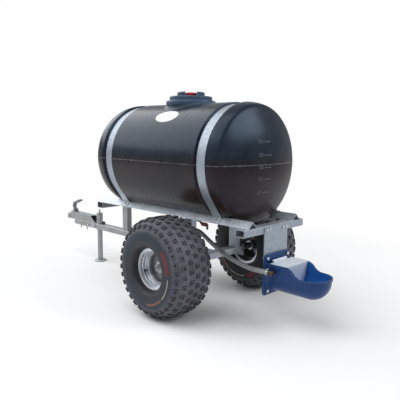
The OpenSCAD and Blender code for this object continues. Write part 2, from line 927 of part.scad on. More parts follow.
module tyre_valve(side) {
    base_d = 16;
    color(black) on_side(side) translate([axle_x, wheel_y, axle_z]) tyre_valve_place() {
        rod_z(tyre_valve_d, -tyre_valve_len, rim_t);
        rod_z(base_d, -rim_t - 2 * seat_gap, -2 * seat_gap);
    }
}

module tyre_band(inner, outer, half, inner_corner, outer_corner) {
    translate([inner + inner_corner, -half]) square([outer - outer_corner - inner - inner_corner, 2 * half]);
    translate([inner, inner_corner - half]) square([inner_corner, 2 * (half - inner_corner)]);
    translate([outer - outer_corner, outer_corner - half]) square([outer_corner, 2 * (half - outer_corner)]);
    for (side = [-1, 1]) {
        translate([inner + inner_corner, side * (half - inner_corner)]) circle(r = inner_corner);
        translate([outer - outer_corner, side * (half - outer_corner)]) circle(r = outer_corner);
    }
}

module tyre_section() {
    bead_out = rim_half - rim_t - bead_gap;
    difference() {
        union() {
            tyre_band(bead_start, tread_r, tread_half, bead_corner, tread_corner);
            translate([seat_r + bead_gap, -bead_out])
                square([bead_start + bead_corner - seat_r, 2 * bead_out]);
        }
        tyre_band(bead_start + carcass_t, tread_r - carcass_t, tread_half - carcass_t,
            bead_corner - carcass_t, tread_corner - carcass_t);
        translate([0, bead_w - bead_out]) square([bead_start + bead_corner, 2 * (bead_out - bead_w)]);
    }
}

// One knob standing out along +X from a tread surface at the origin
module knob() {
    translate([-knob_root, -knob_size / 2, -knob_size / 2]) cube([knob_root + knob_h, knob_size, knob_size]);
}

module tyre(side) {
    step = 360 / knob_count;
    color(rubber) on_side(side) translate([axle_x, wheel_y, axle_z]) {
        spun_y() tyre_section();
        for (i = [0 : knob_count - 1]) {
            for (row = [0 : len(row_shares) - 1])
                rotate([0, (i + (row % 2) / 2) * step, 0])
                    translate([tread_r, row_shares[row] * tread_half, 0]) knob();
            for (edge = [-1, 1])
                rotate([0, (i + 1 / 2) * step, 0])
                    translate([tread_r - tread_corner, edge * (tread_half - tread_corner), 0])
                        rotate([0, 0, edge * shoulder_lean]) translate([tread_corner, 0, 0]) knob();
        }
    }
}

// Coupling

// The upper half of a ball on a straight skirt that reaches down to the cup's mouth
module cup_solid(r, skirt) {
    rotate_extrude($fn = 96) intersection() {
        union() {
            circle(r = r, $fn = 96);
            translate([0, -skirt]) square([r, skirt]);
        }
        translate([0, -skirt]) square([r, skirt + r]);
    }
}

module coupling_body() {
    inner_w = hood_w - 2 * hood_wall;
    color(zinc) difference() {
        union() {
            // Pressed hood, standing on the drawbar
            along_x(hood_front_x, hood_rear_x) translate([-hood_w / 2, beam_top]) square([hood_w, hood_h]);
            translate([ball_x, 0, ball_z]) cup_solid(cup_r, ball_z - cup_mouth_z);
            // Ears that carry the lever's pin
            for (side = [-1, 1]) on_side(side)
                along_y(lever_w / 2 + ear_gap, lever_w / 2 + ear_gap + ear_t) {
                    translate([pivot_x, pivot_z]) circle(r = ear_r);
                    translate([pivot_x - ear_r, hood_top - over])
                        square([2 * ear_r, pivot_z - hood_top + over]);
                }
        }
        // Inside of the hood
        along_x(hood_front_x + hood_wall, hood_rear_x + over)
            translate([-inner_w / 2, beam_top - over]) square([inner_w, hood_h - hood_wall + over]);
        // Sloped rear end
        along_y(-hood_w, hood_w) polygon([
            [hood_rear_x, beam_top + base_t], [hood_rear_x + over, beam_top + base_t],
            [hood_rear_x + over, hood_top + over], [hood_rear_x - hood_slope, hood_top + over],
            [hood_rear_x - hood_slope, hood_top]
        ]);
        // Socket for the ball
        translate([ball_x, 0, ball_z]) cup_solid(socket_r, ball_z - cup_mouth_z + over);
        // Window for the jaw, and slot for the lever's foot
        along_x(ball_x, ball_x + 2 * cup_r)
            translate([-jaw_w / 2 - jaw_play, shelf_top]) square([jaw_w + 2 * jaw_play, jaw_h + jaw_play]);
        translate([pivot_x - 2 * eye_r, -lever_w / 2 - ear_gap, hood_top - hood_wall - over])
            cube([3 * eye_r + jaw_play, lever_w + 2 * ear_gap, hood_wall + 2 * over]);
        translate([pivot_x, 0, pivot_z]) rod_y(pivot_d + 2 * run_gap, -hood_w, hood_w);
    }
    // Base plate on the drawbar, and the shelf that carries the jaw
    color(zinc) difference() {
        translate([drawbar_front_x, -inner_w / 2, beam_top])
            cube([base_rear_x - drawbar_front_x, inner_w, base_t]);
        for (x = [bolt_front_x, bolt_rear_x])
            translate([x, 0, beam_top]) rod_z(coupling_bolt_d + 2 * bolt_gap, -over, base_t + over);
    }
    color(zinc) translate([shelf_front_x, -hood_w / 2, shelf_top - shelf_t])
        cube([shelf_rear_x - shelf_front_x, hood_w, shelf_t]);
}

module coupling_lever() {
    bend = [for (share = lever_bend_shares) [pivot_x, pivot_z] + share * hood_h];
    foot_drop = ear_r + hood_wall;
    color(dark_zinc) difference() {
        along_y(-lever_w / 2, lever_w / 2) {
            circle_at(bend[0], eye_r);
            bar(bend[0], bend[1], lever_neck_t);
            bar(bend[1], bend[2], lever_t);
            bar(bend[2], bend[3], lever_t);
            bar(bend[0], bend[0] - [0, foot_drop], lever_neck_t);
        }
        translate([pivot_x, 0, pivot_z]) rod_y(pivot_d + 2 * run_gap, -lever_w, lever_w);
    }
}

module circle_at(place, r) {
    translate(place) circle(r = r);
}

module lever_pin() {
    reach = lever_w / 2 + ear_gap + ear_t;
    color(zinc) translate([pivot_x, 0, pivot_z]) {
        rod_y(pivot_d, -reach - over, reach + over);
        for (side = [-1, 1]) on_side(side)
            rod_y(pin_head_d, reach + seat_gap, reach + seat_gap + ear_t / 2);
    }
}

module ball_jaw() {
    color(dark_zinc) difference() {
        translate([jaw_x - ball_r / 2, -jaw_w / 2, shelf_top + seat_gap])
            cube([jaw_len + ball_r / 2, jaw_w, jaw_h]);
        translate([ball_x, 0, shelf_top - over]) cylinder(r = jaw_x - ball_x, h = jaw_h + 3 * over);
    }
}

module coupling_bolts() {
    color(zinc) for (x = [bolt_front_x, bolt_rear_x])
        translate([x, 0, beam_top + base_t]) rotate([0, -90, 0])
            bolt_x(coupling_bolt_d, base_t + tube_h + bolt_tail, base_t + tube_h);
}

module cross_bolts() {
    color(zinc) for (x = [cross_front_x, cross_rear_x])
        translate([x, -tube_w / 2, beam_z]) rotate([0, 0, -90])
            bolt_x(coupling_bolt_d, tube_w + coupling_bolt_d, tube_w);
}

// Prop stand

module prop_sleeve() {
    color(zinc) translate([prop_x, 0, 0]) difference() {
        union() {
            rod_z(sleeve_d, sleeve_bottom, sleeve_top);
            translate([0, 0, lock_z]) rod_x(lock_boss_d, leg_r + leg_gap, sleeve_r + lock_boss_len);
        }
        rod_z(leg_d + 2 * leg_gap, sleeve_bottom - over, sleeve_top + over);
        translate([0, 0, lock_z]) rod_x(lock_d + 2 * run_gap, 0, sleeve_r + lock_boss_len + over);
    }
}

module prop_leg() {
    color(zinc) translate([prop_x, 0, 0]) difference() {
        rod_z(leg_d, foot_h, leg_top);
        rod_z(leg_d - 2 * leg_wall, foot_h - over, leg_top + over);
    }
}

module prop_foot() {
    rim_h_share = 0.4;
    dish_share = 0.72;
    color(zinc) translate([prop_x, 0, 0]) {
        cylinder(d = foot_d, h = foot_h * rim_h_share);
        translate([0, 0, foot_h * rim_h_share])
            cylinder(d1 = foot_d, d2 = foot_d * dish_share, h = foot_h * (1 - rim_h_share));
    }
}

module prop_handle() {
    color(dark_zinc) translate([prop_x, 0, leg_top]) {
        rod_z(leg_d, 0, handle_plug_t / 2);
        rod_z(leg_d - 2 * (leg_wall + bolt_gap), -handle_plug_t, over / 2);
        rod_z(handle_d, 0, handle_h - handle_d / 2);
        translate([0, 0, handle_h - handle_d / 2]) sphere(d = handle_d);
    }
}

module lock_screw() {
    tip_x = leg_r + 2 * leg_gap;
    color(dark_zinc) translate([prop_x, 0, lock_z]) rod_x(lock_d, tip_x, tip_x + lock_len);
}

module lock_knob() {
    start = sleeve_r + lock_boss_len + over;
    color(black) translate([prop_x, 0, lock_z]) difference() {
        rod_x(knob_d, start, start + knob_len);
        rod_x(lock_d, start - over, leg_r + 2 * leg_gap + lock_len);
        for (i = [0 : knob_flutes - 1]) rotate([i * 360 / knob_flutes, 0, 0])
            translate([0, 0, knob_d / 2]) rod_x(flute_d, start - over, start + knob_len + over);
    }
}

// Outlet, valve and hose

module tank_outlet() {
    color(black) difference() {
        union() {
            difference() {
                translate([outlet_x, 0, tank_bottom]) rod_z(saddle_d, -saddle_h, 3 * over);
                barrel_cut();
            }
            translate([outlet_x, 0, valve_top]) rod_z(nipple_d, 0, saddle_h);
        }
        translate([outlet_x, 0, valve_top]) rod_z(outlet_bore, -over, 2 * saddle_h);
    }
}

module valve_body() {
    color(brass) translate([outlet_x, 0, valve_mid]) difference() {
        union() {
            translate([0, 0, -valve_len / 2]) cylinder(d = valve_d, h = valve_len);
            rod_y(stem_boss_d, 0, valve_d / 2 + stem_boss_len);
        }
        sphere(d = ball_seat_d + 2 * seat_clear);
        translate([0, 0, -valve_len]) cylinder(d = outlet_bore, h = 2 * valve_len);
        rod_y(stem_d + 2 * run_gap, 0, lever_y + over);
    }
}

module valve_ball() {
    color(zinc) translate([outlet_x, 0, valve_mid]) difference() {
        union() {
            sphere(d = ball_seat_d);
            rod_y(stem_d, 0, lever_y);
        }
        rod_x(outlet_bore, -valve_d, valve_d);
    }
}

function crank_point(share) = [outlet_x, valve_mid] + share * valve_reach;

module valve_lever_outline(w) {
    for (i = [1 : len(crank_shares) - 1])
        bar(crank_point(crank_shares[i - 1]), crank_point(crank_shares[i]), w);
}

module valve_lever() {
    color(dark_zinc) along_y(lever_y, lever_y + lever_bar_t) {
        valve_lever_outline(lever_bar_w);
        circle_at(crank_point(crank_shares[0]), lever_hub_d / 2);
    }
}

module lever_grip() {
    mid_y = lever_y + lever_bar_t / 2;
    start = outlet_x + grip_shares[0] * valve_reach;
    end = outlet_x + grip_shares[1] * valve_reach;
    color(red) difference() {
        along_x(start, end)
            translate([mid_y, crank_point(crank_shares[2])[1]]) rounded(grip_t, grip_w, grip_t / 3);
        along_y(lever_y - bolt_gap, lever_y + lever_bar_t + bolt_gap)
            valve_lever_outline(lever_bar_w + 2 * bolt_gap);
    }
}

// A quarter bend made of two rods and a ball, from the valve down and then along +X
module hose_tail() {
    color(brass) translate([outlet_x, 0, tail_z]) difference() {
        union() {
            rod_z(tail_d, 0, valve_bottom - tail_z);
            sphere(d = tail_d + over);
            rod_x(tail_d, 0, tail_reach);
            rod_x(hose_bore, 0, tail_reach + barb_len);
        }
        rod_z(barb_bore, 0, valve_bottom - tail_z + over);
        rod_x(barb_bore, 0, tail_reach + barb_len + over);
        sphere(d = barb_bore + over);
    }
}

// The hose's wall as one tube with a bore, swept along the route

function route_way(i) =
    let (before = hose_route[max(i - 1, 0)], after = hose_route[min(i + 1, len(hose_route) - 1)])
    (after - before) / norm(after - before);
function route_side(way) = cross([0, 0, 1], way) / norm(cross([0, 0, 1], way));
function ring(i, r) =
    let (way = route_way(i), side = route_side(way), up = cross(way, side))
    [for (k = [0 : hose_sides - 1])
        hose_route[i] + r * (cos(k * 360 / hose_sides) * side + sin(k * 360 / hose_sides) * up)];

module hose() {
    rings = len(hose_route);
    outer = [for (i = [0 : rings - 1]) each ring(i, hose_r)];
    inner = [for (i = [0 : rings - 1]) each ring(i, hose_in_r)];
    skip = rings * hose_sides;
    last = (rings - 1) * hose_sides;
    color(hose_grey) polyhedron(
        points = concat(outer, inner),
        faces = concat(
            [for (i = [0 : rings - 2], k = [0 : hose_sides - 1])
                let (a = i * hose_sides + k, b = i * hose_sides + (k + 1) % hose_sides)
                each [[a, a + hose_sides, b], [b, a + hose_sides, b + hose_sides]]],
            [for (i = [0 : rings - 2], k = [0 : hose_sides - 1])
                let (a = skip + i * hose_sides + k, b = skip + i * hose_sides + (k + 1) % hose_sides)
                each [[a, b, a + hose_sides], [b, b + hose_sides, a + hose_sides]]],
            [for (k = [0 : hose_sides - 1])
                let (a = k, b = (k + 1) % hose_sides)
                each [[a, b, skip + a], [b, skip + b, skip + a]]],
            [for (k = [0 : hose_sides - 1])
                let (a = last + k, b = last + (k + 1) % hose_sides)
                each [[a, skip + a, b], [b, skip + a, skip + b]]]
        )
    );
}

// A worm-drive clip round the hose, about the X axis
module hose_clip() {
    difference() {
        union() {
            rod_x(hose_d + 2 * seat_gap + 2 * clip_t, 0, clip_w);
            translate([clip_w / 2, 0, hose_r + clip_t + clip_screw_d / 2])
                rod_y(clip_screw_d, -clip_screw_len / 2, clip_screw_len / 2);
            translate([0, -clip_screw_len / 4, hose_r]) cube([clip_w, clip_screw_len / 2, clip_screw_d / 2]);
        }
        rod_x(hose_d + 2 * seat_gap, -over, clip_w + over);
    }
}

module hose_clips() {
    color(zinc) {
        translate(hose_route[0] + [over, 0, 0]) hose_clip();
        translate(inlet - [clip_w + over, 0, 0]) hose_clip();
    }
}

module inlet_elbow() {
    color(brass) difference() {
        union() {
            translate(inlet) rod_x(hose_bore, -barb_len, elbow_reach);
            translate(inlet) rod_x(inlet_d, 0, elbow_reach);
            translate([inlet_elbow_x, inlet[1], inlet_z]) sphere(d = inlet_d + over);
            translate([inlet_elbow_x, 0, inlet_z]) rod_y(inlet_d, inlet[1], -bowl_out_r - bolt_gap);
        }
        translate(inlet) rod_x(barb_bore, -barb_len - over, elbow_reach);
        translate([inlet_elbow_x, inlet[1], inlet_z]) sphere(d = barb_bore + over);
        translate([inlet_elbow_x, 0, inlet_z]) rod_y(barb_bore, inlet[1], over - bowl_out_r);
    }
}

// Bowl

// The trough's outline across, open at the top
module trough_outline(r) {
    circle(r = r);
    translate([-r, 0]) square([2 * r, 2 * bowl_r]);
}

module trough(r) {
    translate([0, 0, bowl_z]) {
        along_x(bowl_x - over, bowl_end_x) trough_outline(r);
        translate([bowl_end_x, 0, 0]) sphere(r = r, $fn = 96);
        translate([bowl_end_x, 0, 0]) cylinder(r = r, h = 2 * bowl_r, $fn = 96);
    }
}

// All that lies above the rim, which dips from the back to the front in two arcs
module above_rim(drop) {
    dip = rim_back_z - rim_front_z;
    start = bowl_x + bowl_run * dip_start_share;
    end = bowl_x + bowl_run * dip_end_share;
    half_run = (end - start) / 2;
    arc_r = (pow(half_run, 2) + pow(dip / 2, 2)) / dip;
    along_y(-2 * bowl_r, 2 * bowl_r) translate([0, -drop]) difference() {
        union() {
            translate([bowl_x - 2 * bowl_r, rim_back_z]) square([bowl_run + 5 * bowl_r, 2 * bowl_r]);
            translate([start, rim_front_z]) square([bowl_run + 2 * bowl_r, 2 * bowl_r]);
        }
        // Round arc that leaves the back rim
        intersection() {
            translate([start, rim_back_z - arc_r]) circle(r = arc_r, $fn = 128);
            translate([start - over, rim_front_z - over]) square([half_run + over, dip + 2 * over]);
        }
        // Hollow arc that runs out to the front rim
        difference() {
            translate([start + half_run, rim_front_z]) square([half_run, dip / 2]);
            translate([end, rim_front_z + arc_r]) circle(r = arc_r, $fn = 128);
        }
    }
}

module flange_outline() {
    top = flange_top_w / 2 - flange_corner;
    bottom = flange_bottom_w / 2 - flange_corner;
    high = flange_top_z - flange_corner;
    low = flange_bottom_z + flange_corner;
    hull() {
        for (side = [-1, 1]) {
            translate([side * top, high]) circle(r = flange_corner, $fn = 32);
            translate([side * bottom, low]) circle(r = flange_corner, $fn = 32);
        }
    }
}

module bowl_bolt_holes(d, start, end) {
    for (side = [-1, 1], z = [bowl_bolt_top, bowl_bolt_bottom])
        translate([0, side * bowl_bolt_y, z]) rod_x(d, start, end);
}

module bowl() {
    ear_y = knuckle_len / 2 + ear_clear;
    color(blue) difference() {
        union() {
            difference() {
                trough(bowl_out_r);
                above_rim(0);
            }
            // Rolled lip under the rim
            intersection() {
                difference() {
                    trough(bowl_out_r + lip_out);
                    above_rim(0);
                }
                above_rim(lip_h);
            }
            along_x(flange_x, bowl_x) flange_outline();
            // Ears for the cover's hinge pin
            for (side = [-1, 1]) on_side(side) along_y(ear_y, ear_y + ear_len) {
                translate([hinge_x, hinge_z]) circle(d = knuckle_d);
                translate([bowl_x - over, hinge_z - knuckle_d / 2])
                    square([hinge_x - bowl_x + over, knuckle_d]);
            }
        }
        intersection() {
            trough(bowl_r);
            translate([bowl_x, -2 * bowl_r, 0]) cube([2 * bowl_run, 4 * bowl_r, 2 * flange_top_z]);
        }
        // Shallow panel between the upper bolts
        translate([bowl_x - panel_depth, -panel_w / 2, panel_bottom])
            cube([2 * panel_depth, panel_w, panel_top - panel_bottom]);
        bowl_bolt_holes(bowl_bolt_d + 2 * bolt_gap, flange_x - over, bowl_x + over);
        translate([hinge_x, 0, hinge_z]) rod_y(pin_d + 2 * run_gap, -plate_w, plate_w);
        translate([inlet_elbow_x, 0, inlet_z]) rod_y(inlet_hole_d + 2 * bolt_gap, -2 * bowl_r, 0);
    }
}

module bowl_plate() {
    color(zinc) difference() {
        along_x(plate_x, flange_x)
            translate([-plate_w / 2, plate_bottom]) square([plate_w, plate_top - plate_bottom]);
        bowl_bolt_holes(bowl_bolt_d + 2 * bolt_gap, plate_x - over, flange_x + over);
        for (share = plate_bolt_y_shares)
            translate([0, share * plate_w / 2, deck_z - tube_h / 2])
                rod_x(bowl_bolt_d + 2 * bolt_gap, plate_x - over, flange_x + over);
    }
}

module plate_bolts() {
    color(zinc) for (share = plate_bolt_y_shares)
        translate([flange_x, share * plate_w / 2, deck_z - tube_h / 2])
            bolt_x(bowl_bolt_d, plate_t + tube_wall + 2 * bowl_bolt_d, plate_t + tube_wall);
}

module bowl_bolts() {
    color(zinc) for (side = [-1, 1], z = [bowl_bolt_top, bowl_bolt_bottom])
        translate([bowl_x, side * bowl_bolt_y, z])
            bolt_x(bowl_bolt_d, plate_t + bowl_flange_t + bowl_bolt_d, plate_t + bowl_flange_t);
}

module bowl_cover() {
    front_x = cover_x + cover_len;
    mid_z = cover_z + cover_t / 2;
    skirt_end = [front_x - cover_drop * sin(cover_lean), cover_z - cover_drop * cos(cover_lean)];
    knuckle = knuckle_len / 2;
    color(pale) difference() {
        union() {
            along_y(-bowl_out_r, bowl_out_r) bar([cover_x, mid_z], [front_x, mid_z], cover_t);
            // The skirt hangs between the walls and follows the round floor
            intersection() {
                along_y(-bowl_r, bowl_r) bar([front_x, mid_z], skirt_end, cover_t);
                trough(bowl_r - skirt_gap);
            }
            translate([hinge_x, 0, hinge_z]) rod_y(knuckle_d, -knuckle, knuckle);
        }
        translate([hinge_x, 0, hinge_z]) rod_y(pin_d + 2 * run_gap, -bowl_run, bowl_run);
        // Room for the hinge's ears
        for (side = [-1, 1]) on_side(side)
            translate([cover_x - knuckle_d, knuckle, cover_z - over])
                cube([2 * knuckle_d, bowl_r, knuckle_d]);
    }
}

module cover_pin() {
    reach = knuckle_len / 2 + ear_clear + ear_len + over;
    color(zinc) translate([hinge_x, 0, hinge_z]) rod_y(pin_d, -reach, reach);
}

// Float valve inside the bowl

module float_valve() {
    wall_in = -bowl_r + bolt_gap;
    color(brass) difference() {
        union() {
            translate([inlet_elbow_x, 0, inlet_z]) {
                rod_y(inlet_hole_d, -bowl_out_r - bolt_gap, wall_in + float_valve_len);
                rod_y(valve_nut_d, wall_in, wall_in + lip_h, $fn = nut_facets);
                rod_y(float_valve_d, wall_in, wall_in + float_valve_len);
            }
            // Fork that carries the arm's pin
            for (side = [-1, 1])
                translate([inlet_elbow_x + side * fork_half, 0, inlet_z]) rotate([90, 0, 90])
                    linear_extrude(height = fork_t, center = true)
                        bar([wall_in + float_valve_len - fork_t, 0], [float_pivot_y, 0], 2 * arm_d);
        }
        translate([inlet_elbow_x, float_pivot_y, inlet_z])
            rod_x(float_pivot_d + 2 * run_gap, -float_valve_d, float_valve_d);
        translate([inlet_elbow_x, 0, inlet_z])
            rod_y(barb_bore / 2, -bowl_out_r - over, wall_in + float_valve_len / 2);
    }
}

module float_place() {
    translate([inlet_elbow_x, float_pivot_y, inlet_z]) rotate([-float_dip, 0, 0]) children();
}

module float_arm() {
    color(brass) float_place() {
        rod_y(arm_d, 0, float_len - float_d / 3);
        rod_x(float_pivot_d, -fork_half - fork_t, fork_half + fork_t);
    }
}

module float_ball() {
    color(pale) float_place() translate([0, float_len, 0]) difference() {
        sphere(d = float_d);
        rod_y(arm_d + 2 * run_gap, -float_d, over - float_d / 3);
    }
}

in_frame() drawbar();
in_frame() axle_beam();
in_frame() front_post();
in_frame() rear_post(-1);  // rear_post_left
in_frame() rear_post(1);  // rear_post_right
in_frame() front_crossbeam();
in_frame() rear_crossbeam();
in_frame() rail(-1);  // rail_left
in_frame() rail(1);  // rail_right
in_frame() stub_axle(-1);  // stub_axle_left
in_frame() stub_axle(1);  // stub_axle_right
in_frame() axle_nut(-1);  // axle_nut_left
in_frame() axle_nut(1);  // axle_nut_right
in_frame() tyre(-1);  // tyre_left
in_frame() tyre(1);  // tyre_right
in_frame() rim(-1);  // rim_left
in_frame() rim(1);  // rim_right
in_frame() bearings(-1);  // bearings_left
in_frame() bearings(1);  // bearings_right
in_frame() tyre_valve(-1);  // tyre_valve_left
in_frame() tyre_valve(1);  // tyre_valve_right
in_frame() tank();
in_frame() lid();
in_frame() lid_seal();
in_frame() breather();
in_frame() strap(strap_front_x);  // strap_front
in_frame() strap(strap_rear_x);  // strap_rear
in_frame() strap_bolts();
in_frame() drain_plug();
in_frame() tank_outlet();
in_frame() valve_body();
in_frame() valve_ball();
in_frame() valve_lever();
in_frame() lever_grip();
in_frame() hose_tail();
in_frame() hose();
in_frame() hose_clips();
in_frame() inlet_elbow();
in_frame() bowl_plate();
in_frame() plate_bolts();
in_frame() bowl();
in_frame() bowl_bolts();
in_frame() bowl_cover();
in_frame() cover_pin();
in_frame() float_valve();
in_frame() float_arm();
in_frame() float_ball();
in_frame() coupling_body();
in_frame() coupling_lever();
in_frame() lever_pin();
in_frame() ball_jaw();
in_frame() coupling_bolts();
in_frame() cross_bolts();
in_frame() prop_sleeve();
in_frame() prop_leg();
in_frame() prop_foot();
in_frame() prop_handle();
in_frame() lock_screw();
in_frame() lock_knob();
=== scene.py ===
"""Dresses a wheeled water bowser: camera, hose, tank, marks, tyres, rims, bowl, finishes and stage."""

import functools
import math

import bmesh
import bpy
from bpy.props import FloatProperty, FloatVectorProperty, IntProperty, PointerProperty
from mathutils import Matrix, Vector


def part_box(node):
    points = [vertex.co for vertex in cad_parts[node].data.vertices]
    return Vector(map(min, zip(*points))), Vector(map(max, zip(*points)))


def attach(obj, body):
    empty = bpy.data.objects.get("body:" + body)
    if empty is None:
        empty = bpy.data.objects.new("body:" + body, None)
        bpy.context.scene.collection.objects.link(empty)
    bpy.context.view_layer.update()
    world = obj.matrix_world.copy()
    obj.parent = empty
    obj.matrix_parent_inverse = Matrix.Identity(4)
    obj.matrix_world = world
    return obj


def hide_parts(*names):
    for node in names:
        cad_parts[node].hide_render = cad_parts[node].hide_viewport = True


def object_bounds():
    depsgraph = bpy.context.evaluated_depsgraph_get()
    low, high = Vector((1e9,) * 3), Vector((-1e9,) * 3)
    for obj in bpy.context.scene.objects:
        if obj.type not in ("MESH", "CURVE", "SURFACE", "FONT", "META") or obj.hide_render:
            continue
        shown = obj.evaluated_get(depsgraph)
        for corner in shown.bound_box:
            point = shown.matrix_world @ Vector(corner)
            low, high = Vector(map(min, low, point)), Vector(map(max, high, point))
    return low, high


bl_info = {
    "name": "Water Bowser",
    "version": (1, 0, 0),
    "blender": (4, 5, 0),
    "location": "View3D > Sidebar > Bowser",
    "description": "Dresses a wheeled water bowser and lights it on a plain stage",
    "category": "Object",
}

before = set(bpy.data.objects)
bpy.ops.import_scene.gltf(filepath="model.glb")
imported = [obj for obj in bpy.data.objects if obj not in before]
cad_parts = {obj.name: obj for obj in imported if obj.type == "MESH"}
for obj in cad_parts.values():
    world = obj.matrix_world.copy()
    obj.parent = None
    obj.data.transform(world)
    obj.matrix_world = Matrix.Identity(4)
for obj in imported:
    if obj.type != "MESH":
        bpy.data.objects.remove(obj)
CAD_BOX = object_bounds()
TANK_LOW, TANK_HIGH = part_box("tank")
TYRE_LOW, TYRE_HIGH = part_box("tyre_left")

# The tank's middle in X, the axle in X and Z, a wheel's place to the side, half its width and its radius
TANK_X = (TANK_LOW.x + TANK_HIGH.x) / 2
AXLE_X = (TYRE_LOW.x + TYRE_HIGH.x) / 2
AXLE_Z = (TYRE_LOW.z + TYRE_HIGH.z) / 2
TYRE_Y = -(TYRE_LOW.y + TYRE_HIGH.y) / 2
TYRE_HALF = (TYRE_HIGH.y - TYRE_LOW.y) / 2
TYRE_R = (TYRE_HIGH.z - TYRE_LOW.z) / 2

# The top of the deck's rails, the front face of the bowl's plate and the underside of the lid
DECK_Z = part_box("rail_left")[1].z
PLATE_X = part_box("bowl_plate")[0].x
LID_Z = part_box("lid")[0].z

# Where the galvanised steel is dull and painted darker as shade: forward of the first X and under the
# first Z, less up to the second
DULL_SHADE_X = (-0.42, -0.30)
DULL_SHADE_Z = (0.49, 0.53)

# The sharpest fold that is still shaded smooth
SMOOTH_LIMIT = math.radians(32.0)

ORIGIN = (0.0, 0.0, 0.0)
AXIS_X = (1.0, 0.0, 0.0)
AXIS_Y = (0.0, 1.0, 0.0)
AXIS_Z = (0.0, 0.0, 1.0)
WHITE = (1.0, 1.0, 1.0, 1.0)

# The hose's middle line from the valve's tail to the bowl's inlet, with X from the tank's middle
HOSE_ROUTE = [
    (0.022, 0.0, 0.396), (0.060, 0.0, 0.396), (0.084, -0.0015, 0.392), (0.108, -0.005, 0.384),
    (0.135, -0.009, 0.373), (0.162, -0.013, 0.3615), (0.190, -0.017, 0.350), (0.222, -0.022, 0.338),
    (0.256, -0.028, 0.3265), (0.294, -0.035, 0.315), (0.334, -0.043, 0.3045), (0.370, -0.050, 0.297),
    (0.404, -0.057, 0.2915), (0.440, -0.065, 0.287), (0.476, -0.073, 0.284), (0.510, -0.081, 0.282),
    (0.544, -0.0895, 0.281), (0.578, -0.0985, 0.282), (0.608, -0.107, 0.284), (0.634, -0.115, 0.287),
    (0.656, -0.121, 0.2895), (0.676, -0.124, 0.291), (0.716, -0.124, 0.291),
]


# Sizes and colours that a user may change

def amount(name, description, default, **kind):
    return FloatProperty(name=name, description=description, default=default, **kind)


def length(name, description, default):
    return amount(name, description, default, unit="LENGTH", precision=4)


def degrees(name, description, default):
    return amount(name, description, math.radians(default), subtype="ANGLE")


def colour(name, description, default):
    return FloatVectorProperty(
        name=name, description=description, default=default, subtype="COLOR", min=0.0, max=1.0
    )


class BowserView(bpy.types.PropertyGroup):
    """Where the camera stands and how it looks"""

    place: FloatVectorProperty(
        name="Place", description="Where the camera stands", subtype="TRANSLATION",
        default=(2.45705, -2.0653, 1.0099),
    )
    turn: degrees("Turn", "Turn of the camera about the vertical", 43.432)
    drop: degrees("Drop", "How far the camera looks down", 7.123)
    roll: degrees("Roll", "Roll of the camera about its view", 0.572)
    lens: amount("Lens", "Focal length in millimetres", 44.37, unit="CAMERA")
    shift_x: amount("Shift X", "Sideways shift of the frame", -0.0558)
    shift_y: amount("Shift Y", "Upward shift of the frame", -0.0196)


class BowserHose(bpy.types.PropertyGroup):
    """The hose from the valve to the bowl"""

    diameter: length("Diameter", "Outside diameter of the hose", 0.026)
    run: length("Length", "Length of the hose along its middle line", 0.7251)


class BowserTank(bpy.types.PropertyGroup):
    """The moulded tank, its label and its level marks"""

    barrel_r: length("Barrel radius", "Outside radius of the barrel", 0.335)
    straight: length("Straight", "Length of the straight barrel", 0.904)
    shoulder_r: length("Shoulder radius", "Rounding between barrel and end", 0.216)
    dome_r: length("Dome radius", "Radius of the domed ends", 0.776)
    channel_depth: length("Channel depth", "Depth of the channels that the straps lie in", 0.013)
    channel_w: length("Channel width", "Width of a channel's floor", 0.076)
    channel_slope: length("Channel slope", "How far a channel's wall leans outwards", 0.006)
    seam_h: length("Seam height", "Height of the moulded seam", 0.005)
    seam_proud: length("Seam rise", "How far the seam stands proud", 0.0025)
    neck_r: length("Neck radius", "Radius of the filler neck", 0.150)
    neck_round: length("Neck rounding", "Rounding of the neck's top edge", 0.010)
    neck_foot: length("Neck foot", "Blend between the neck and the barrel", 0.016)
    neck_sunk: length("Neck sunk", "Depth of the blend's foot in barrel and neck", 0.004)
    lid_gap: length("Lid gap", "Room between the neck and the lid", 0.0003)
    collar_r: length("Collar radius", "Radius of the collar under the lid", 0.116)
    mouth_r: length("Mouth radius", "Radius of the filler mouth", 0.1025)
    label_w: length("Label width", "Width of the oval label", 0.182)
    label_h: length("Label height", "Height of the oval label, round the barrel", 0.098)
    label_x: length("Label place", "Label's middle behind the tank's middle", 0.030)
    label_thick: length("Label thickness", "Height of the label over the barrel", 0.0007)
    label_turn: degrees("Label turn", "Label's middle down from the top of the barrel", 40.1)
    mark_w: length("Mark width", "Width of a level mark", 0.055)
    mark_h: length("Mark height", "Height of a level mark", 0.0045)
    mark_thick: length("Mark thickness", "Thickness of a level mark", 0.003)
    digit_h: length("Digit height", "Height of the numbers by the level marks", 0.026)
    digit_thick: length("Digit thickness", "Height of the numbers over the dome", 0.0012)


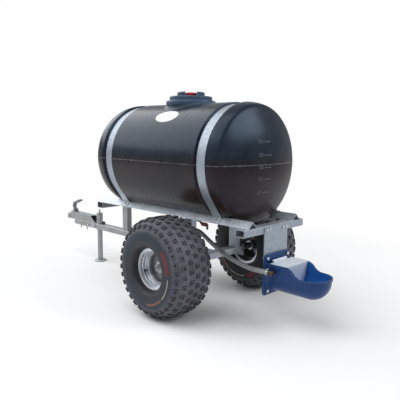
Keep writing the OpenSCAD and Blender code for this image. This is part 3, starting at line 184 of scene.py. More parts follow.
class BowserWheels(bpy.types.PropertyGroup):
    """The knobbly tyres and their rims"""

    stud_count: IntProperty(name="Studs", description="Studs in one row round a tyre", default=32)
    stud_size: length("Stud size", "Side of a stud at its foot", 0.0265)
    stud_rise: length("Stud height", "Height of a stud above the tread", 0.009)
    stud_root: length("Stud root", "Depth of a stud's foot in the tread", 0.004)
    stud_soft: length("Stud edge", "Width of a stud's worn edges", 0.0018)
    stud_margin: length("Stud margin", "Width of the margin round a stud's hollow", 0.0050)
    stud_dish: length("Stud hollow", "Depth of the hollow in a stud's top", 0.0030)
    wall_inset: length("Wall inset", "How far the sidewall draws in under its rings", 0.0012)
    row_step: length("Row step", "Distance between two rows of studs", 0.042)
    tread_corner: length("Tread corner", "Rounding between tread and sidewall", 0.090)
    bead_corner: length("Bead corner", "Rounding of the sidewall towards the rim", 0.028)
    bead_r: length("Bead radius", "Radius where the sidewall meets the rim", 0.1185)
    bead_y: length("Bead place", "Outer face of the bead from the tyre's middle", 0.0862)
    seat_r: length("Seat radius", "Radius of the bead seat", 0.1018)
    lip_r: length("Lip", "Radius of the rim's rolled lip", 0.0036)


class BowserBowl(bpy.types.PropertyGroup):
    """The rounded corner between the bowl and its flange"""

    flange: length("Flange", "Thickness of the bowl's flange", 0.012)
    axis_up: length("Axis height", "Bowl's middle line over the foot of its flange", 0.107)
    bowl_r: length("Bowl radius", "Outside radius of the bowl", 0.095)
    blend_run: length("Blend run", "Length of the rounded corner along the bowl", 0.032)
    blend_rise: length("Blend rise", "Height of the rounded corner up the flange", 0.012)
    blend_up: length("Blend sides", "Height of the rounded corner over the bowl's middle", 0.050)
    sunk: length("Sunk", "Depth of the rounded corner's foot in the bowl", 0.002)


class BowserColours(bpy.types.PropertyGroup):
    """Colours of the finishes"""

    zinc_light: colour("Light zinc", "Brightest grains of the galvanised steel", (0.58, 0.63, 0.69))
    zinc_dark: colour("Dark zinc", "Dullest grains of the galvanised steel", (0.40, 0.44, 0.485))
    # Dull zinc that also carries painted shade under the deck at the towing end
    zinc_old_shaded: colour("Old zinc", "Dulled steel at the towing end", (0.285, 0.285, 0.265))
    # Painted sky reflection, darker and bluer, for the straps and the bowl's plate
    zinc_sky_blue: colour("Blue zinc", "Weathered steel of the straps and bowl's plate", (0.30, 0.345, 0.40))
    dark_steel: colour("Dark steel", "Oiled and blackened steel", (0.15, 0.155, 0.165))
    bright_steel: colour("Bright steel", "Plated bolts and nuts", (0.60, 0.61, 0.63))
    tank: colour("Tank", "Black moulded plastic", (0.0045, 0.0055, 0.0075))
    # Dust that is also painted bluish sky reflection on the tank's upper half and lid
    tank_dust_and_sky: colour("Tank dust", "Fine dust on the tank", (0.060, 0.088, 0.142))
    # Dirt that is also painted brown ground reflection on the tank's lower half
    tank_dirt_and_ground: colour("Tank dirt", "Brown dirt under the tank", (0.120, 0.050, 0.024))
    # Also the painted highlight along the tank's seam
    mark: colour("Marks", "Rubbed tops of the level marks", (0.17, 0.18, 0.20))
    fitting: colour("Fittings", "Black fittings", (0.02, 0.02, 0.022))
    rubber: colour("Rubber", "Clean rubber of the sidewalls", (0.015, 0.026, 0.041))
    rubber_dust: colour("Tyre dust", "Dusty rubber of the tread", (0.128, 0.125, 0.152))
    rubber_mud: colour("Tyre mud", "Brown dirt on the tread and near the rim", (0.040, 0.031, 0.026))
    # Painted shade on the studs' sides and on the tyre's inner side
    rubber_shade: colour("Tyre shade", "Clean sides of the studs", (0.006, 0.006, 0.008))
    tyre_red: colour("Red arc", "Worn red arc on a sidewall", (0.15, 0.014, 0.020))
    tyre_pale: colour("Pale arc", "Worn pale arc on a sidewall", (0.42, 0.36, 0.28))
    tyre_rust: colour("Rust arc", "Worn orange arc on a sidewall", (0.27, 0.105, 0.055))
    rim: colour("Rim", "Silver paint of the rims", (0.74, 0.77, 0.82))
    red: colour("Red plastic", "Breather and valve grip", (0.52, 0.02, 0.022))
    bronze: colour("Bronze", "Dull brass fittings", (0.105, 0.09, 0.075))
    hose: colour("Hose", "Clear hose with a dull wall", (0.33, 0.34, 0.36))
    blue: colour("Bowl blue", "Blue plastic of the bowl", (0.006, 0.040, 0.155))
    # Painted light on the inside of the bowl
    blue_lit_inside: colour("Wet blue", "Clean inside of the bowl", (0.014, 0.125, 0.42))
    # Rubbed edges that also carry a painted highlight
    blue_edge_and_highlight: colour("Bowl edge", "Rubbed edges of the bowl", (0.10, 0.20, 0.40))
    cover: colour("Cover", "Pale sheet of the bowl's cover", (0.78, 0.83, 0.90))
    white: colour("White", "White float and label", (0.80, 0.80, 0.79))
    floor: colour("Floor", "Pale studio floor", (0.90, 0.90, 0.90))


class BowserStage(bpy.types.PropertyGroup):
    """Floor and lamps"""

    floor_r: length("Floor radius", "Radius of the floor", 14.0)
    shade_r: length("Shadow radius", "How far out the floor shows a shadow", 2.6)
    sky: amount("Sky", "Strength of the light from all round", 0.42)
    key: amount("Key", "Power of the large lamp overhead", 105.0, unit="POWER")
    side: amount("Side", "Power of the soft lamp over the drawbar", 350.0, unit="POWER")
    back: amount("Back", "Power of the soft lamp behind the bowl", 80.0, unit="POWER")


# Shader maths

def sums(operation, swapped=False):
    """A method that puts a reading and another value through a Math node."""
    def method(self, other=0.0):
        first, second = (other, self) if swapped else (self, other)
        return self.nodes.node("ShaderNodeMath", {0: first, 1: second}, operation=operation)
    return method


class Reading:
    """A value read from a socket; sums on it add Math nodes beside it."""

    def __init__(self, nodes, socket):
        self.nodes = nodes
        self.socket = socket

    __add__ = __radd__ = sums("ADD")
    __mul__ = __rmul__ = sums("MULTIPLY")
    __sub__ = sums("SUBTRACT")
    __rsub__ = sums("SUBTRACT", swapped=True)
    __pow__ = sums("POWER")
    most = sums("MAXIMUM")
    size = sums("ABSOLUTE")
    wave = sums("SINE")
    angle = sums("ARCTAN2")

    def rise(self, start, end):
        """0 before start, 1 after end and a smooth step between."""
        ends = {"Value": self, "From Min": start, "From Max": end}
        return self.nodes.node("ShaderNodeMapRange", ends, interpolation_type="SMOOTHSTEP")

    def band(self, start, end, soft):
        """1 between start and end, with soft edges."""
        return self.rise(start - soft, start + soft) * (1.0 - self.rise(end - soft, end + soft))

    def hypot(self, other):
        """The long side of a right triangle."""
        return (self * self + other * other) ** 0.5


class Nodes:
    """Adds nodes to a tree, one at a time."""

    def __init__(self, tree):
        self.tree = tree

    def node(self, kind, sockets=None, output=0, **settings):
        made = self.tree.nodes.new(kind)
        for name, value in settings.items():
            setattr(made, name, value)
        self.set(made, sockets or {})
        return Reading(self, made.outputs[output])

    def set(self, made, sockets):
        """Links readings to a node's sockets and sets plain values; None leaves a socket as it is."""
        for key, value in sockets.items():
            if isinstance(value, Reading):
                self.tree.links.new(value.socket, made.inputs[key])
            elif value is not None:
                made.inputs[key].default_value = value

    def mix(self, share, first, second):
        """A colour between two others, each of them a reading or a plain colour."""
        ends = [end if isinstance(end, Reading) else opaque(end) for end in (first, second)]
        return self.node("ShaderNodeMix", {0: share, 6: ends[0], 7: ends[1]}, 2, data_type="RGBA")

    def vectors(self, operation, first, second, output=0):
        return self.node("ShaderNodeVectorMath", {0: first, 1: second}, output, operation=operation)

    def seen(self):
        """1 for what the camera sees straight on."""
        return self.node("ShaderNodeLightPath", output="Is Camera Ray")


class Finish(Nodes):
    """A material under construction, read in the piece's own coordinates."""

    def __init__(self, name, sockets):
        self.material = bpy.data.materials.new(name)
        self.material.use_nodes = True
        super().__init__(self.material.node_tree)
        self.shader = self.tree.nodes["Principled BSDF"]
        self.place = self.node("ShaderNodeTexCoord", output="Object")
        self.set(self.shader, sockets)

    def along(self, axis, centre=0.0):
        return self.node("ShaderNodeSeparateXYZ", {0: self.place}, axis) - centre

    def noise(self, scale, detail=2.0, rough=0.5):
        sockets = {"Vector": self.place, "Scale": scale, "Detail": detail, "Roughness": rough}
        return self.node("ShaderNodeTexNoise", sockets)

    def grains(self, scale):
        """A random value for each grain of a cell pattern."""
        cells = self.node("ShaderNodeTexVoronoi", {"Vector": self.place, "Scale": scale}, "Color")
        return self.node("ShaderNodeSeparateColor", {0: cells}, "Red")

    def facing(self):
        return self.node("ShaderNodeNewGeometry", output="Normal")

    def edges(self, radius):
        """More than 0 where a surface folds within the radius."""
        return 1.0 - self.vectors("DOT_PRODUCT", self.facing(), self.soft_edges(radius), "Value")

    def upward(self):
        """How far a surface faces the sky."""
        return self.node("ShaderNodeSeparateXYZ", {0: self.facing()}, "Z")

    def soft_edges(self, radius):
        return self.node("ShaderNodeBevel", {"Radius": radius}, samples=4)

    def bump(self, height, distance, strength, over=None):
        sockets = {"Strength": strength, "Distance": distance, "Height": height, "Normal": over}
        return self.node("ShaderNodeBump", sockets)

    def wear(self, colour, roughness, normal=None):
        self.set(self.shader, {"Base Color": colour, "Roughness": roughness, "Normal": normal})
        return self.material


def opaque(value):
    return (*value, 1.0)


def toned(value, share):
    """A colour made darker, or lighter where the share is over 1."""
    return tuple(share * part for part in value)


# Finishes, one for each material slot

def stained(
    name, sockets, first, second, stains, edge=None, share=1.0, rough=(0.30, 0.2), grain=None, soft=None
):
    """A finish of one colour with stains of another.

    Stains is their noise, edge where in it they begin and end, share how strong they get, rough the least
    roughness and what they add, grain a bump's scale, depth and strength, and soft the radius of edges.
    """
    finish = Finish(name, sockets)
    stain = finish.noise(*stains)
    shown = stain.rise(*edge) if edge else stain
    normal = finish.soft_edges(soft) if soft else None
    if grain:
        scale, depth, strength = grain
        normal = finish.bump(finish.noise(scale), depth, strength, normal)
    return finish.wear(finish.mix(shown * share, first, second), rough[0] + rough[1] * stain, normal)


def dark_steel(colours):
    return stained(
        "dark_steel_oiled", {"Metallic": 0.65}, colours.dark_steel, toned(colours.dark_steel, 1.9),
        (45.0, 4.0, 0.6), (0.35, 0.75), rough=(0.38, 0.22), grain=(700.0, 0.0002, 0.5), soft=0.0009,
    )


def bright_steel(colours):
    return stained(
        "bright_plated_steel", {"Metallic": 0.95}, colours.bright_steel, toned(colours.bright_steel, 0.62),
        (120.0, 3.0, 0.6), (0.42, 0.78), rough=(0.24, 0.22), soft=0.0007,
    )


def level_marks(colours):
    return stained(
        "level_marks_rubbed", {}, colours.tank, colours.mark, (90.0, 4.0, 0.7), (0.3, 0.6), share=0.65,
        rough=(0.40, 0.2),
    )


def fitting_black(colours):
    return stained(
        "fitting_moulded_black", {}, colours.fitting, colours.tank_dirt_and_ground, (30.0, 4.0, 0.6), (0.5, 0.9),
        share=0.18, rough=(0.36, 0.18), grain=(600.0, 0.0003, 0.4), soft=0.0008,
    )


def seal_rubber(colours):
    return stained(
        "seal_soft_rubber", {}, colours.rubber, colours.rubber_dust, (60.0, 3.0, 0.6), share=0.4,
        rough=(0.52, 0.2), soft=0.0008,
    )


def red_plastic(colours):
    return stained(
        "red_moulded_plastic", {"Specular IOR Level": 0.4}, colours.red, toned(colours.red, 0.6),
        (50.0, 3.0, 0.6), grain=(500.0, 0.0002, 0.4), soft=0.0012,
    )


def brass(colours):
    return stained(
        "bronze_cast_fittings", {"Metallic": 0.6}, colours.bronze, toned(colours.bronze, 0.35),
        (70.0, 4.0, 0.65), (0.3, 0.75), rough=(0.36, 0.25), grain=(450.0, 0.0004, 0.5), soft=0.0008,
    )


def cover_pale(colours):
    return stained(
        "cover_pale_sheet", {"Metallic": 0.25}, colours.cover, toned(colours.cover, 0.72),
        (30.0, 4.0, 0.6), (0.35, 0.8), share=0.6, soft=0.0012,
    )


def float_white(colours):
    return stained(
        "white_moulded_plastic", {}, colours.white, toned(colours.white, 0.86), (45.0, 3.0, 0.6),
        rough=(0.30, 0.15),
    )


def galvanised(colours):
    finish = Finish("galvanised_steel", {"Metallic": 0.7})
    grains = finish.grains(75.0)
    bloom = finish.noise(9.0, 4.0, 0.6)
    share = grains * 0.34 + bloom * 0.8 - 0.06
    zinc = finish.mix(share.rise(0.0, 1.0), colours.zinc_dark, colours.zinc_light)
    # The towing end under the deck has dull zinc and painted shade, the shade less where a face turns up
    front = 1.0 - finish.along("X").rise(*DULL_SHADE_X)
    under = (1.0 - finish.along("Z").rise(*DULL_SHADE_Z)) * (1.0 - 0.55 * finish.upward().rise(0.3, 0.8))
    dulled_and_shaded = front * under * (0.6 + 0.4 * bloom.rise(0.3, 0.7))
    # The straps over the deck and the plate behind it are painted darker and bluer, as a reflection of the
    # blue sky
    straps = finish.along("Z", DECK_Z).rise(0.02, 0.05)
    sky_tinted = straps.most(finish.along("X", PLATE_X).rise(-0.003, 0.0))
    zinc = finish.mix(sky_tinted * (0.6 + 0.4 * grains), zinc, colours.zinc_sky_blue)
    bumps = finish.noise(420.0) + grains * 0.4
    return finish.wear(
        colour=finish.mix(dulled_and_shaded * 0.9, zinc, colours.zinc_old_shaded),
        roughness=0.34 + 0.16 * bloom + 0.08 * grains,
        normal=finish.bump(bumps, 0.0002, 0.5, finish.soft_edges(0.0016)),
    )


def tank_black(colours):
    # The blue specular tint is painted sky colour in the tank's reflections
    shine_sky_tint = {"Specular IOR Level": 0.27, "Specular Tint": (0.50, 0.72, 1.0, 1.0)}
    finish = Finish("tank_moulded_black", shine_sky_tint)
    tank = bpy.context.scene.bowser_tank
    high = finish.along("Z", TANK_LOW.z + tank.barrel_r)
    clouds = finish.noise(5.5, 4.0, 0.6)
    scuffs = finish.noise(34.0, 3.0, 0.5)
    # Over the seam a pale bluish film, most of it on the neck and lid, and under it a brown film: partly
    # dust and dirt, partly painted sky reflection above and painted ground reflection below
    film_and_reflection = finish.mix(high.rise(-0.02, 0.06), colours.tank_dirt_and_ground, colours.tank_dust_and_sky)
    share = 0.10 + 0.12 * clouds.rise(0.3, 0.8) + 0.06 * scuffs.rise(0.6, 0.9)
    skin = finish.mix(share + 0.8 * high.rise(0.31, 0.345), colours.tank, film_and_reflection)
    # Painted highlight: the seam band is lightened towards the marks' pale colour, as light caught along
    # its edges
    seam = high.band(-tank.seam_h / 2, tank.seam_h / 2, 0.0006)
    return finish.wear(
        colour=finish.mix(seam * (0.2 + 0.4 * scuffs.rise(0.35, 0.6)), skin, colours.mark),
        roughness=0.20 + 0.10 * clouds + 0.14 * scuffs.rise(0.5, 0.85),
        normal=finish.bump(finish.noise(520.0) * 0.03 + clouds * 5.0, 0.0006, 0.2),
    )


# The worn arcs on a sidewall: colour, radius and turn, each from and to with its soft edge, then the least
# paint that is left and what the wear adds to it
ARCS = (
    ("tyre_red", (0.168, 0.195, 0.004), (0.06, 0.74, 0.06), 0.35, 0.5),
    ("tyre_pale", (0.180, 0.187, 0.0015), (-0.74, -0.06, 0.03), 0.0, 0.9),
    ("tyre_rust", (0.176, 0.187, 0.002), (-1.50, -0.82, 0.05), 0.0, 0.9),
)
# How far the far wheel stands turned, so that its arcs lie lower
FAR_TURN = 1.31


def tyre_rubber(colours):
    finish = Finish("tyre_knobbly_rubber", {"Specular IOR Level": 0.45})
    wheels = bpy.context.scene.bowser_wheels
    corner = wheels.tread_corner
    ring_r = TYRE_R - wheels.stud_rise - corner
    across = finish.along("X", AXLE_X)
    aside = finish.along("Y")
    up = finish.along("Z", AXLE_Z)
    reach = across.hypot(up)
    out = aside.size() - TYRE_Y
    # Height over the tread, which tells a stud's sides from its top
    past = (out.size() - (TYRE_HALF - corner)).most(0.0)
    above = (reach - ring_r).most(0.0)
    height = past.hypot(above) - corner
    patches = finish.noise(16.0, 5.0, 0.65)
    mud = finish.noise(7.0, 3.0, 0.6).rise(0.45, 0.75)
    tread = reach.rise(ring_r + 0.018, ring_r + 0.050)
    # Mud lies near the rim, and the inner side is painted dark as shade
    near_rim = (1.0 - reach.rise(0.130, 0.190)) * (0.35 + 0.65 * mud)
    wall = finish.mix(near_rim, colours.rubber, colours.rubber_mud)
    wall = finish.mix(0.85 * (1.0 - out.rise(-0.12, -0.08)), wall, colours.rubber_shade)
    dusty = finish.mix(mud * 0.5, colours.rubber_dust, colours.rubber_mud)
    ground = finish.mix(tread * (0.55 + 0.45 * patches.rise(0.3, 0.7)), wall, dusty)
    # Painted shade: the studs' sides are darkened as the shadow round each stud
    sides = tread * height.band(0.0012, 0.0078, 0.0006)
    painted = finish.mix(sides * 0.9, ground, colours.rubber_shade)
    turn = up.angle(across) + FAR_TURN * aside.rise(-0.01, 0.01)
    worn = finish.noise(140.0, 4.0, 0.7).rise(0.15, 0.6)
    for name, radii, turns, least, more in ARCS:
        here = reach.band(*radii) * turn.band(*turns)
        painted = finish.mix(here * (least + more * worn), painted, getattr(colours, name))
    return finish.wear(
        colour=painted,
        roughness=0.46 + 0.22 * patches + 0.1 * tread,
        normal=finish.bump(finish.noise(650.0) + patches * 2.0, 0.0005, 0.4),
    )


def wheel_steel(colours):
    finish = Finish("wheel_silver_paint", {"Metallic": 0.75})
    out = finish.along("Y").size() - TYRE_Y
    dirt = finish.noise(34.0, 5.0, 0.65)
    # The paint is clean near both lips and painted dark between them as shade in the rim's well, with
    # random dirt over it
    deep = (1.0 - out.rise(0.020, 0.046)) * out.rise(-0.086, -0.080)
    grime_and_shade = deep * 0.78 + dirt.rise(0.5, 0.9) * 0.25
    return finish.wear(
        colour=finish.mix(grime_and_shade, colours.rim, toned(colours.rim, 0.12)),
        roughness=0.22 + 0.2 * dirt,
        normal=finish.bump(finish.noise(300.0), 0.0003, 0.3, finish.soft_edges(0.0015)),
    )


def hose_grey(colours):
    finish = Finish("hose_clear_wall", {"Coat Weight": 0.3, "Coat Roughness": 0.2})
    across = finish.along("Z") * 0.6 + finish.along("Y")
    weave = ((finish.along("X") + across) * 900.0).wave()
    clouds = finish.noise(26.0, 4.0, 0.6)
    share = clouds.rise(0.35, 0.8) * 0.7 + weave.rise(0.7, 1.0) * 0.25
    return finish.wear(
        colour=finish.mix(share, colours.hose, toned(colours.hose, 0.45)),
        roughness=0.32 + 0.2 * clouds,
        normal=finish.bump(weave, 0.0003, 0.3),
    )


def bowl_blue(colours):
    finish = Finish("bowl_moulded_blue", {"Specular IOR Level": 0.3})
    clouds = finish.noise(18.0, 4.0, 0.6)
    scuffs = finish.noise(140.0, 5.0, 0.7)
    low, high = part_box("bowl")
    out = finish.vectors("SUBTRACT", finish.place, (low + high) / 2)
    outward = finish.vectors("DOT_PRODUCT", finish.facing(), out, "Value")
    # The inside is painted lighter and bluer, as light falling into the bowl
    lit_basin = (1.0 - outward.rise(-0.02, 0.02)) * finish.along("X", low.x).rise(0.02, 0.03)
    skin = finish.mix(lit_basin, colours.blue, colours.blue_lit_inside)
    # Edges are lightened, partly rubbed wear and partly painted highlight
    rubbed_and_highlit = finish.edges(0.0035).rise(0.04, 0.3) * 0.75 + clouds.rise(0.45, 0.9) * 0.08
    bumps = finish.noise(420.0) + clouds * 4.0
    return finish.wear(
        colour=finish.mix(rubbed_and_highlit, skin, colours.blue_edge_and_highlight),
        roughness=0.27 + 0.14 * clouds + 0.14 * scuffs.rise(0.5, 0.8),
        normal=finish.bump(bumps, 0.0005, 0.3, finish.soft_edges(0.0022)),
    )


FINISHES = {
    make.__name__: make for make in (
        galvanised, dark_steel, bright_steel, tank_black, fitting_black, tyre_rubber, seal_rubber,
        wheel_steel, red_plastic, brass, hose_grey, bowl_blue, cover_pale, float_white, level_marks,
    )
}


@functools.cache
def finish_for(slot):
    """The finish of a material slot, made the first time it is asked for."""
    return FINISHES[slot](bpy.context.scene.bowser_colours)


# Shaping

def arc(centre, radius, start, end, steps):
    """Points on a circle in an outline's plane, from one angle to another in degrees."""
    turns = [math.radians(start + (end - start) * step / steps) for step in range(steps + 1)]
    return [(centre[0] + radius * math.cos(turn), centre[1] + radius * math.sin(turn)) for turn in turns]


def outline(shape, points, closed=False):
    """A chain of edges through points in space."""
    verts = [shape.verts.new(point) for point in points]
    edges = [shape.edges.new(pair) for pair in zip(verts, verts[1:])]
    if closed:
        edges.append(shape.edges.new((verts[-1], verts[0])))
    return verts + edges


def turned(points, axis, centre, steps, closed=False):
    """A closed skin from an outline turned all the way round an axis."""
    shape = bmesh.new()
    chain = outline(shape, points, closed)
    bmesh.ops.spin(
        shape, geom=chain, cent=centre, axis=axis, angle=math.tau, steps=steps, use_merge=True
    )
    bmesh.ops.remove_doubles(shape, verts=shape.verts, dist=1e-5)
    bmesh.ops.recalc_face_normals(shape, faces=shape.faces)
    return shape


def crisp(shape):
    """Keeps edges that fold more than the limit sharp when the rest is shaded smooth."""
    for edge in shape.edges:
        edge.smooth = len(edge.link_faces) != 2 or edge.calc_face_angle() < SMOOTH_LIMIT


def block(size):
    """A box about the origin."""
    shape = bmesh.new()
    bmesh.ops.create_cube(shape, size=1.0)
    bmesh.ops.scale(shape, vec=size, verts=shape.verts)
    return shape


def move(shape, step):
    bmesh.ops.translate(shape, vec=step, verts=shape.verts)


def soften(shape, edges, width, segments):
    """Cuts edges back to a rounding."""
    bmesh.ops.bevel(
        shape, geom=edges, offset=width, offset_type="OFFSET", affect="EDGES", segments=segments,
        profile=0.5, material=-1, clamp_overlap=True,
    )


def only(kind, parts):
    """The parts of one kind: verts or edges."""
    return [part for part in parts if isinstance(part, kind)]


def draw_out(shape, edges, step):
    """Draws edges out into a band."""
    raised = bmesh.ops.extrude_edge_only(shape, edges=edges)["geom"]
    bmesh.ops.translate(shape, verts=only(bmesh.types.BMVert, raised), vec=step)


def join(shape, other):
    """Adds one shape's mesh to another."""
    mesh = bpy.data.meshes.new("join")
    other.to_mesh(mesh)
    other.free()
    shape.from_mesh(mesh)
    bpy.data.meshes.remove(mesh)


def placed(name, data):
    """A new object in the scene."""
    made = bpy.data.objects.new(name, data)
    bpy.context.scene.collection.objects.link(made)
    return made


def add_piece(name, shape, slot, body, replaced=(), finish=None):
    """Makes a finished piece from a shape, riding on a body."""
    crisp(shape)
    mesh = bpy.data.meshes.new(name)
    for face in shape.faces:
        face.smooth = True
    shape.to_mesh(mesh)
    shape.free()
    mesh.materials.append(finish_for(finish or slot))
    piece = placed(name, mesh)
    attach(piece, body)
    if replaced:
        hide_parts(*replaced)


# Operators

class BOWSER_OT_camera(bpy.types.Operator):
    """Set the camera where the picture was taken from"""

    bl_idname = "bowser.camera"
    bl_label = "Set Camera"

    def execute(self, context):
        view = context.scene.bowser_view
        data = bpy.data.cameras.new("camera")
        data.lens = view.lens
        data.shift_x = view.shift_x
        data.shift_y = view.shift_y
        camera = placed("camera", data)
        turn = Matrix.Rotation(view.turn, 4, "Z")
        tilt = Matrix.Rotation(math.pi / 2 - view.drop, 4, "X")
        roll = Matrix.Rotation(view.roll, 4, "Z")
        camera.matrix_world = Matrix.Translation(view.place) @ turn @ tilt @ roll
        context.scene.camera = camera
        return {"FINISHED"}


class BOWSER_OT_hose(bpy.types.Operator):
    """Lay the hose from the valve's tail to the bowl's inlet"""

    bl_idname = "bowser.hose"
    bl_label = "Lay Hose"

    def execute(self, context):
        hose = context.scene.bowser_hose
        curve = bpy.data.curves.new("water_hose", "CURVE")
        curve.dimensions = "3D"
        curve.bevel_depth = hose.diameter / 2
        curve.bevel_resolution = 6
        curve.resolution_u = 8
        curve.use_fill_caps = True
        spline = curve.splines.new("BEZIER")
        spline.bezier_points.add(len(HOSE_ROUTE) - 1)
        for point, (x, y, z) in zip(spline.bezier_points, HOSE_ROUTE):
            point.co = (TANK_X + x, y, z)
            point.handle_left_type = "AUTO"
            point.handle_right_type = "AUTO"
        curve.materials.append(finish_for("hose_grey"))
        piece = placed("water_hose", curve)
        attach(piece, "chassis")
        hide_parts("hose")
        x, y, z = HOSE_ROUTE[0]
        return {"FINISHED"}


# How far in degrees the shoulder's arc and the dome's arc stop short of their crease
SHOULDER_SHORT = 1.4
DOME_SHORT = 0.4


def tank_half(tank, strap_x, grow=0.0, sink=0.0):
    """Half the tank's lengthways section, from the middle of the barrel to the middle of its end."""
    end_x = (TANK_HIGH.x - TANK_LOW.x) / 2 - tank.seam_proud
    dome_x = end_x - tank.dome_r
    hub_x = tank.straight / 2
    hub_r = tank.barrel_r - tank.shoulder_r
    span = hub_x - dome_x
    # Where the shoulder's arc and the dome's arc cross, by the triangle between their centres
    gap = math.hypot(span, hub_r)
    bend = math.acos((gap ** 2 + tank.dome_r ** 2 - tank.shoulder_r ** 2) / (2 * gap * tank.dome_r))
    dome_turn = math.degrees(math.atan2(hub_r, span) + bend)
    cross_x, cross_r = arc((dome_x, 0.0), tank.dome_r, dome_turn, dome_turn, 1)[0]
    shoulder_turn = math.degrees(math.atan2(cross_r - hub_r, cross_x - hub_x))
    # The channel's outer wall runs a little way into the shoulder
    half = tank.channel_w / 2
    mouth = half + tank.channel_slope
    skip = math.degrees(math.asin(max(0.0, strap_x + mouth - hub_x) / tank.shoulder_r))
    shoulder = arc((hub_x, hub_r), tank.shoulder_r + grow, 90.0 - skip, shoulder_turn + SHOULDER_SHORT, 8)
    dome = arc((dome_x, 0.0), tank.dome_r + grow, dome_turn - DOME_SHORT, 0.0, 22)
    level = tank.barrel_r + grow
    floor = tank.barrel_r - tank.channel_depth - sink
    channel = [(strap_x - mouth, level), (strap_x - half, floor), (strap_x + half, floor)]
    return [(0.0, level)] + channel + shoulder + dome


def tank_side(tank, grow=0.0, sink=0.0):
    """The tank's section over its whole length, with a channel under each strap."""
    front, rear = [
        (low.x + high.x) / 2 - TANK_X for low, high in (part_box("strap_front"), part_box("strap_rear"))
    ]
    half = tank_half(tank, -front, grow, sink)
    return [(-x, r) for x, r in reversed(half[1:])] + tank_half(tank, rear, grow, sink)


class BOWSER_OT_tank(bpy.types.Operator):
    """Mould the tank with its seam and filler neck"""

    bl_idname = "bowser.tank"
    bl_label = "Mould Tank"

    def execute(self, context):
        tank = context.scene.bowser_tank
        axis_z = TANK_LOW.z + tank.barrel_r
        points = [(TANK_X + x, 0.0, axis_z + r) for x, r in tank_side(tank)]
        shape = turned(points, AXIS_X, (TANK_X, 0.0, axis_z), steps=144)
        join(shape, self.seam(tank, axis_z))
        join(shape, self.neck(tank, axis_z))
        join(shape, self.neck_foot(tank, axis_z))
        add_piece("moulded_tank", shape, "tank_black", "chassis", ("tank",))
        return {"FINISHED"}

    def seam(self, tank, axis_z):
        """A low band where the two halves of the mould met."""
        side = tank_side(tank, tank.seam_proud, 2 * tank.seam_proud)
        loop = side + [(x, -r) for x, r in reversed(side[1:-1])]
        shape = bmesh.new()
        chain = outline(shape, [(TANK_X + x, r, axis_z - tank.seam_h / 2) for x, r in loop], closed=True)
        draw_out(shape, only(bmesh.types.BMEdge, chain), (0.0, 0.0, tank.seam_h))
        bmesh.ops.recalc_face_normals(shape, faces=shape.faces)
        bmesh.ops.solidify(shape, geom=shape.faces, thickness=2 * tank.seam_proud)
        sharp = [edge for edge in shape.edges if edge.is_manifold and edge.calc_face_angle() > 1.0]
        soften(shape, sharp, tank.seam_proud / 2, 2)
        return shape

    def neck(self, tank, axis_z):
        """The neck with its rounded edge, the collar and the mouth."""
        top = LID_Z - tank.lid_gap
        soft = tank.neck_round
        # Well inside the barrel
        deep = axis_z + tank.barrel_r * 0.85
        section = [(tank.neck_r, deep)]
        section += arc((tank.neck_r - soft, top - soft), soft, 0.0, 90.0, 6)
        section += [(tank.collar_r, top), (tank.collar_r, TANK_HIGH.z)]
        section += [(tank.mouth_r, TANK_HIGH.z), (tank.mouth_r, deep)]
        points = [(TANK_X + r, 0.0, z) for r, z in section]
        return turned(points, AXIS_Z, (TANK_X, 0.0, 0.0), steps=96, closed=True)

    def neck_foot(self, tank, axis_z):
        """A hollow blend that follows the barrel round the neck."""
        foot = tank.neck_foot
        section = arc((tank.neck_r + foot, foot), foot, 180.0, 262.0, 6)
        sunk = tank.neck_sunk
        buried = [(tank.neck_r + foot, -sunk), (tank.neck_r - sunk, -sunk), (tank.neck_r - sunk, foot)]
        points = [(TANK_X + r, 0.0, z) for r, z in section + buried]
        shape = turned(points, AXIS_Z, (TANK_X, 0.0, 0.0), steps=96, closed=True)
        for vert in shape.verts:
            vert.co.z += axis_z + math.sqrt(tank.barrel_r ** 2 - vert.co.y ** 2)
        return shape


class BOWSER_OT_label(bpy.types.Operator):
    """Lay the bare oval label on the tank's near side"""

    bl_idname = "bowser.label"
    bl_label = "Lay Label"

    # The label's section, in shares of its half width and of its thickness
    edge_shares = (
        (0.0, 1.0), (0.30, 1.0), (0.60, 1.0), (0.86, 1.0), (0.97, 1.0), (1.0, 0.0), (0.97, -1.0),
    )

    def execute(self, context):
        tank = context.scene.bowser_tank
        axis_z = TANK_LOW.z + tank.barrel_r
        points = [(r, 0.0, tank.label_thick * z) for r, z in self.edge_shares]
        shape = turned(points, AXIS_Z, ORIGIN, steps=64)
        bmesh.ops.scale(shape, vec=(tank.label_w / 2, tank.label_h / 2, 1.0), verts=shape.verts)
        for vert in shape.verts:
            turn = tank.label_turn - vert.co.y / tank.barrel_r
            reach = tank.barrel_r + vert.co.z
            x = TANK_X + tank.label_x + vert.co.x
            vert.co = (x, -reach * math.sin(turn), axis_z + reach * math.cos(turn))
        add_piece("oval_label", shape, "float_white", "chassis")
        return {"FINISHED"}


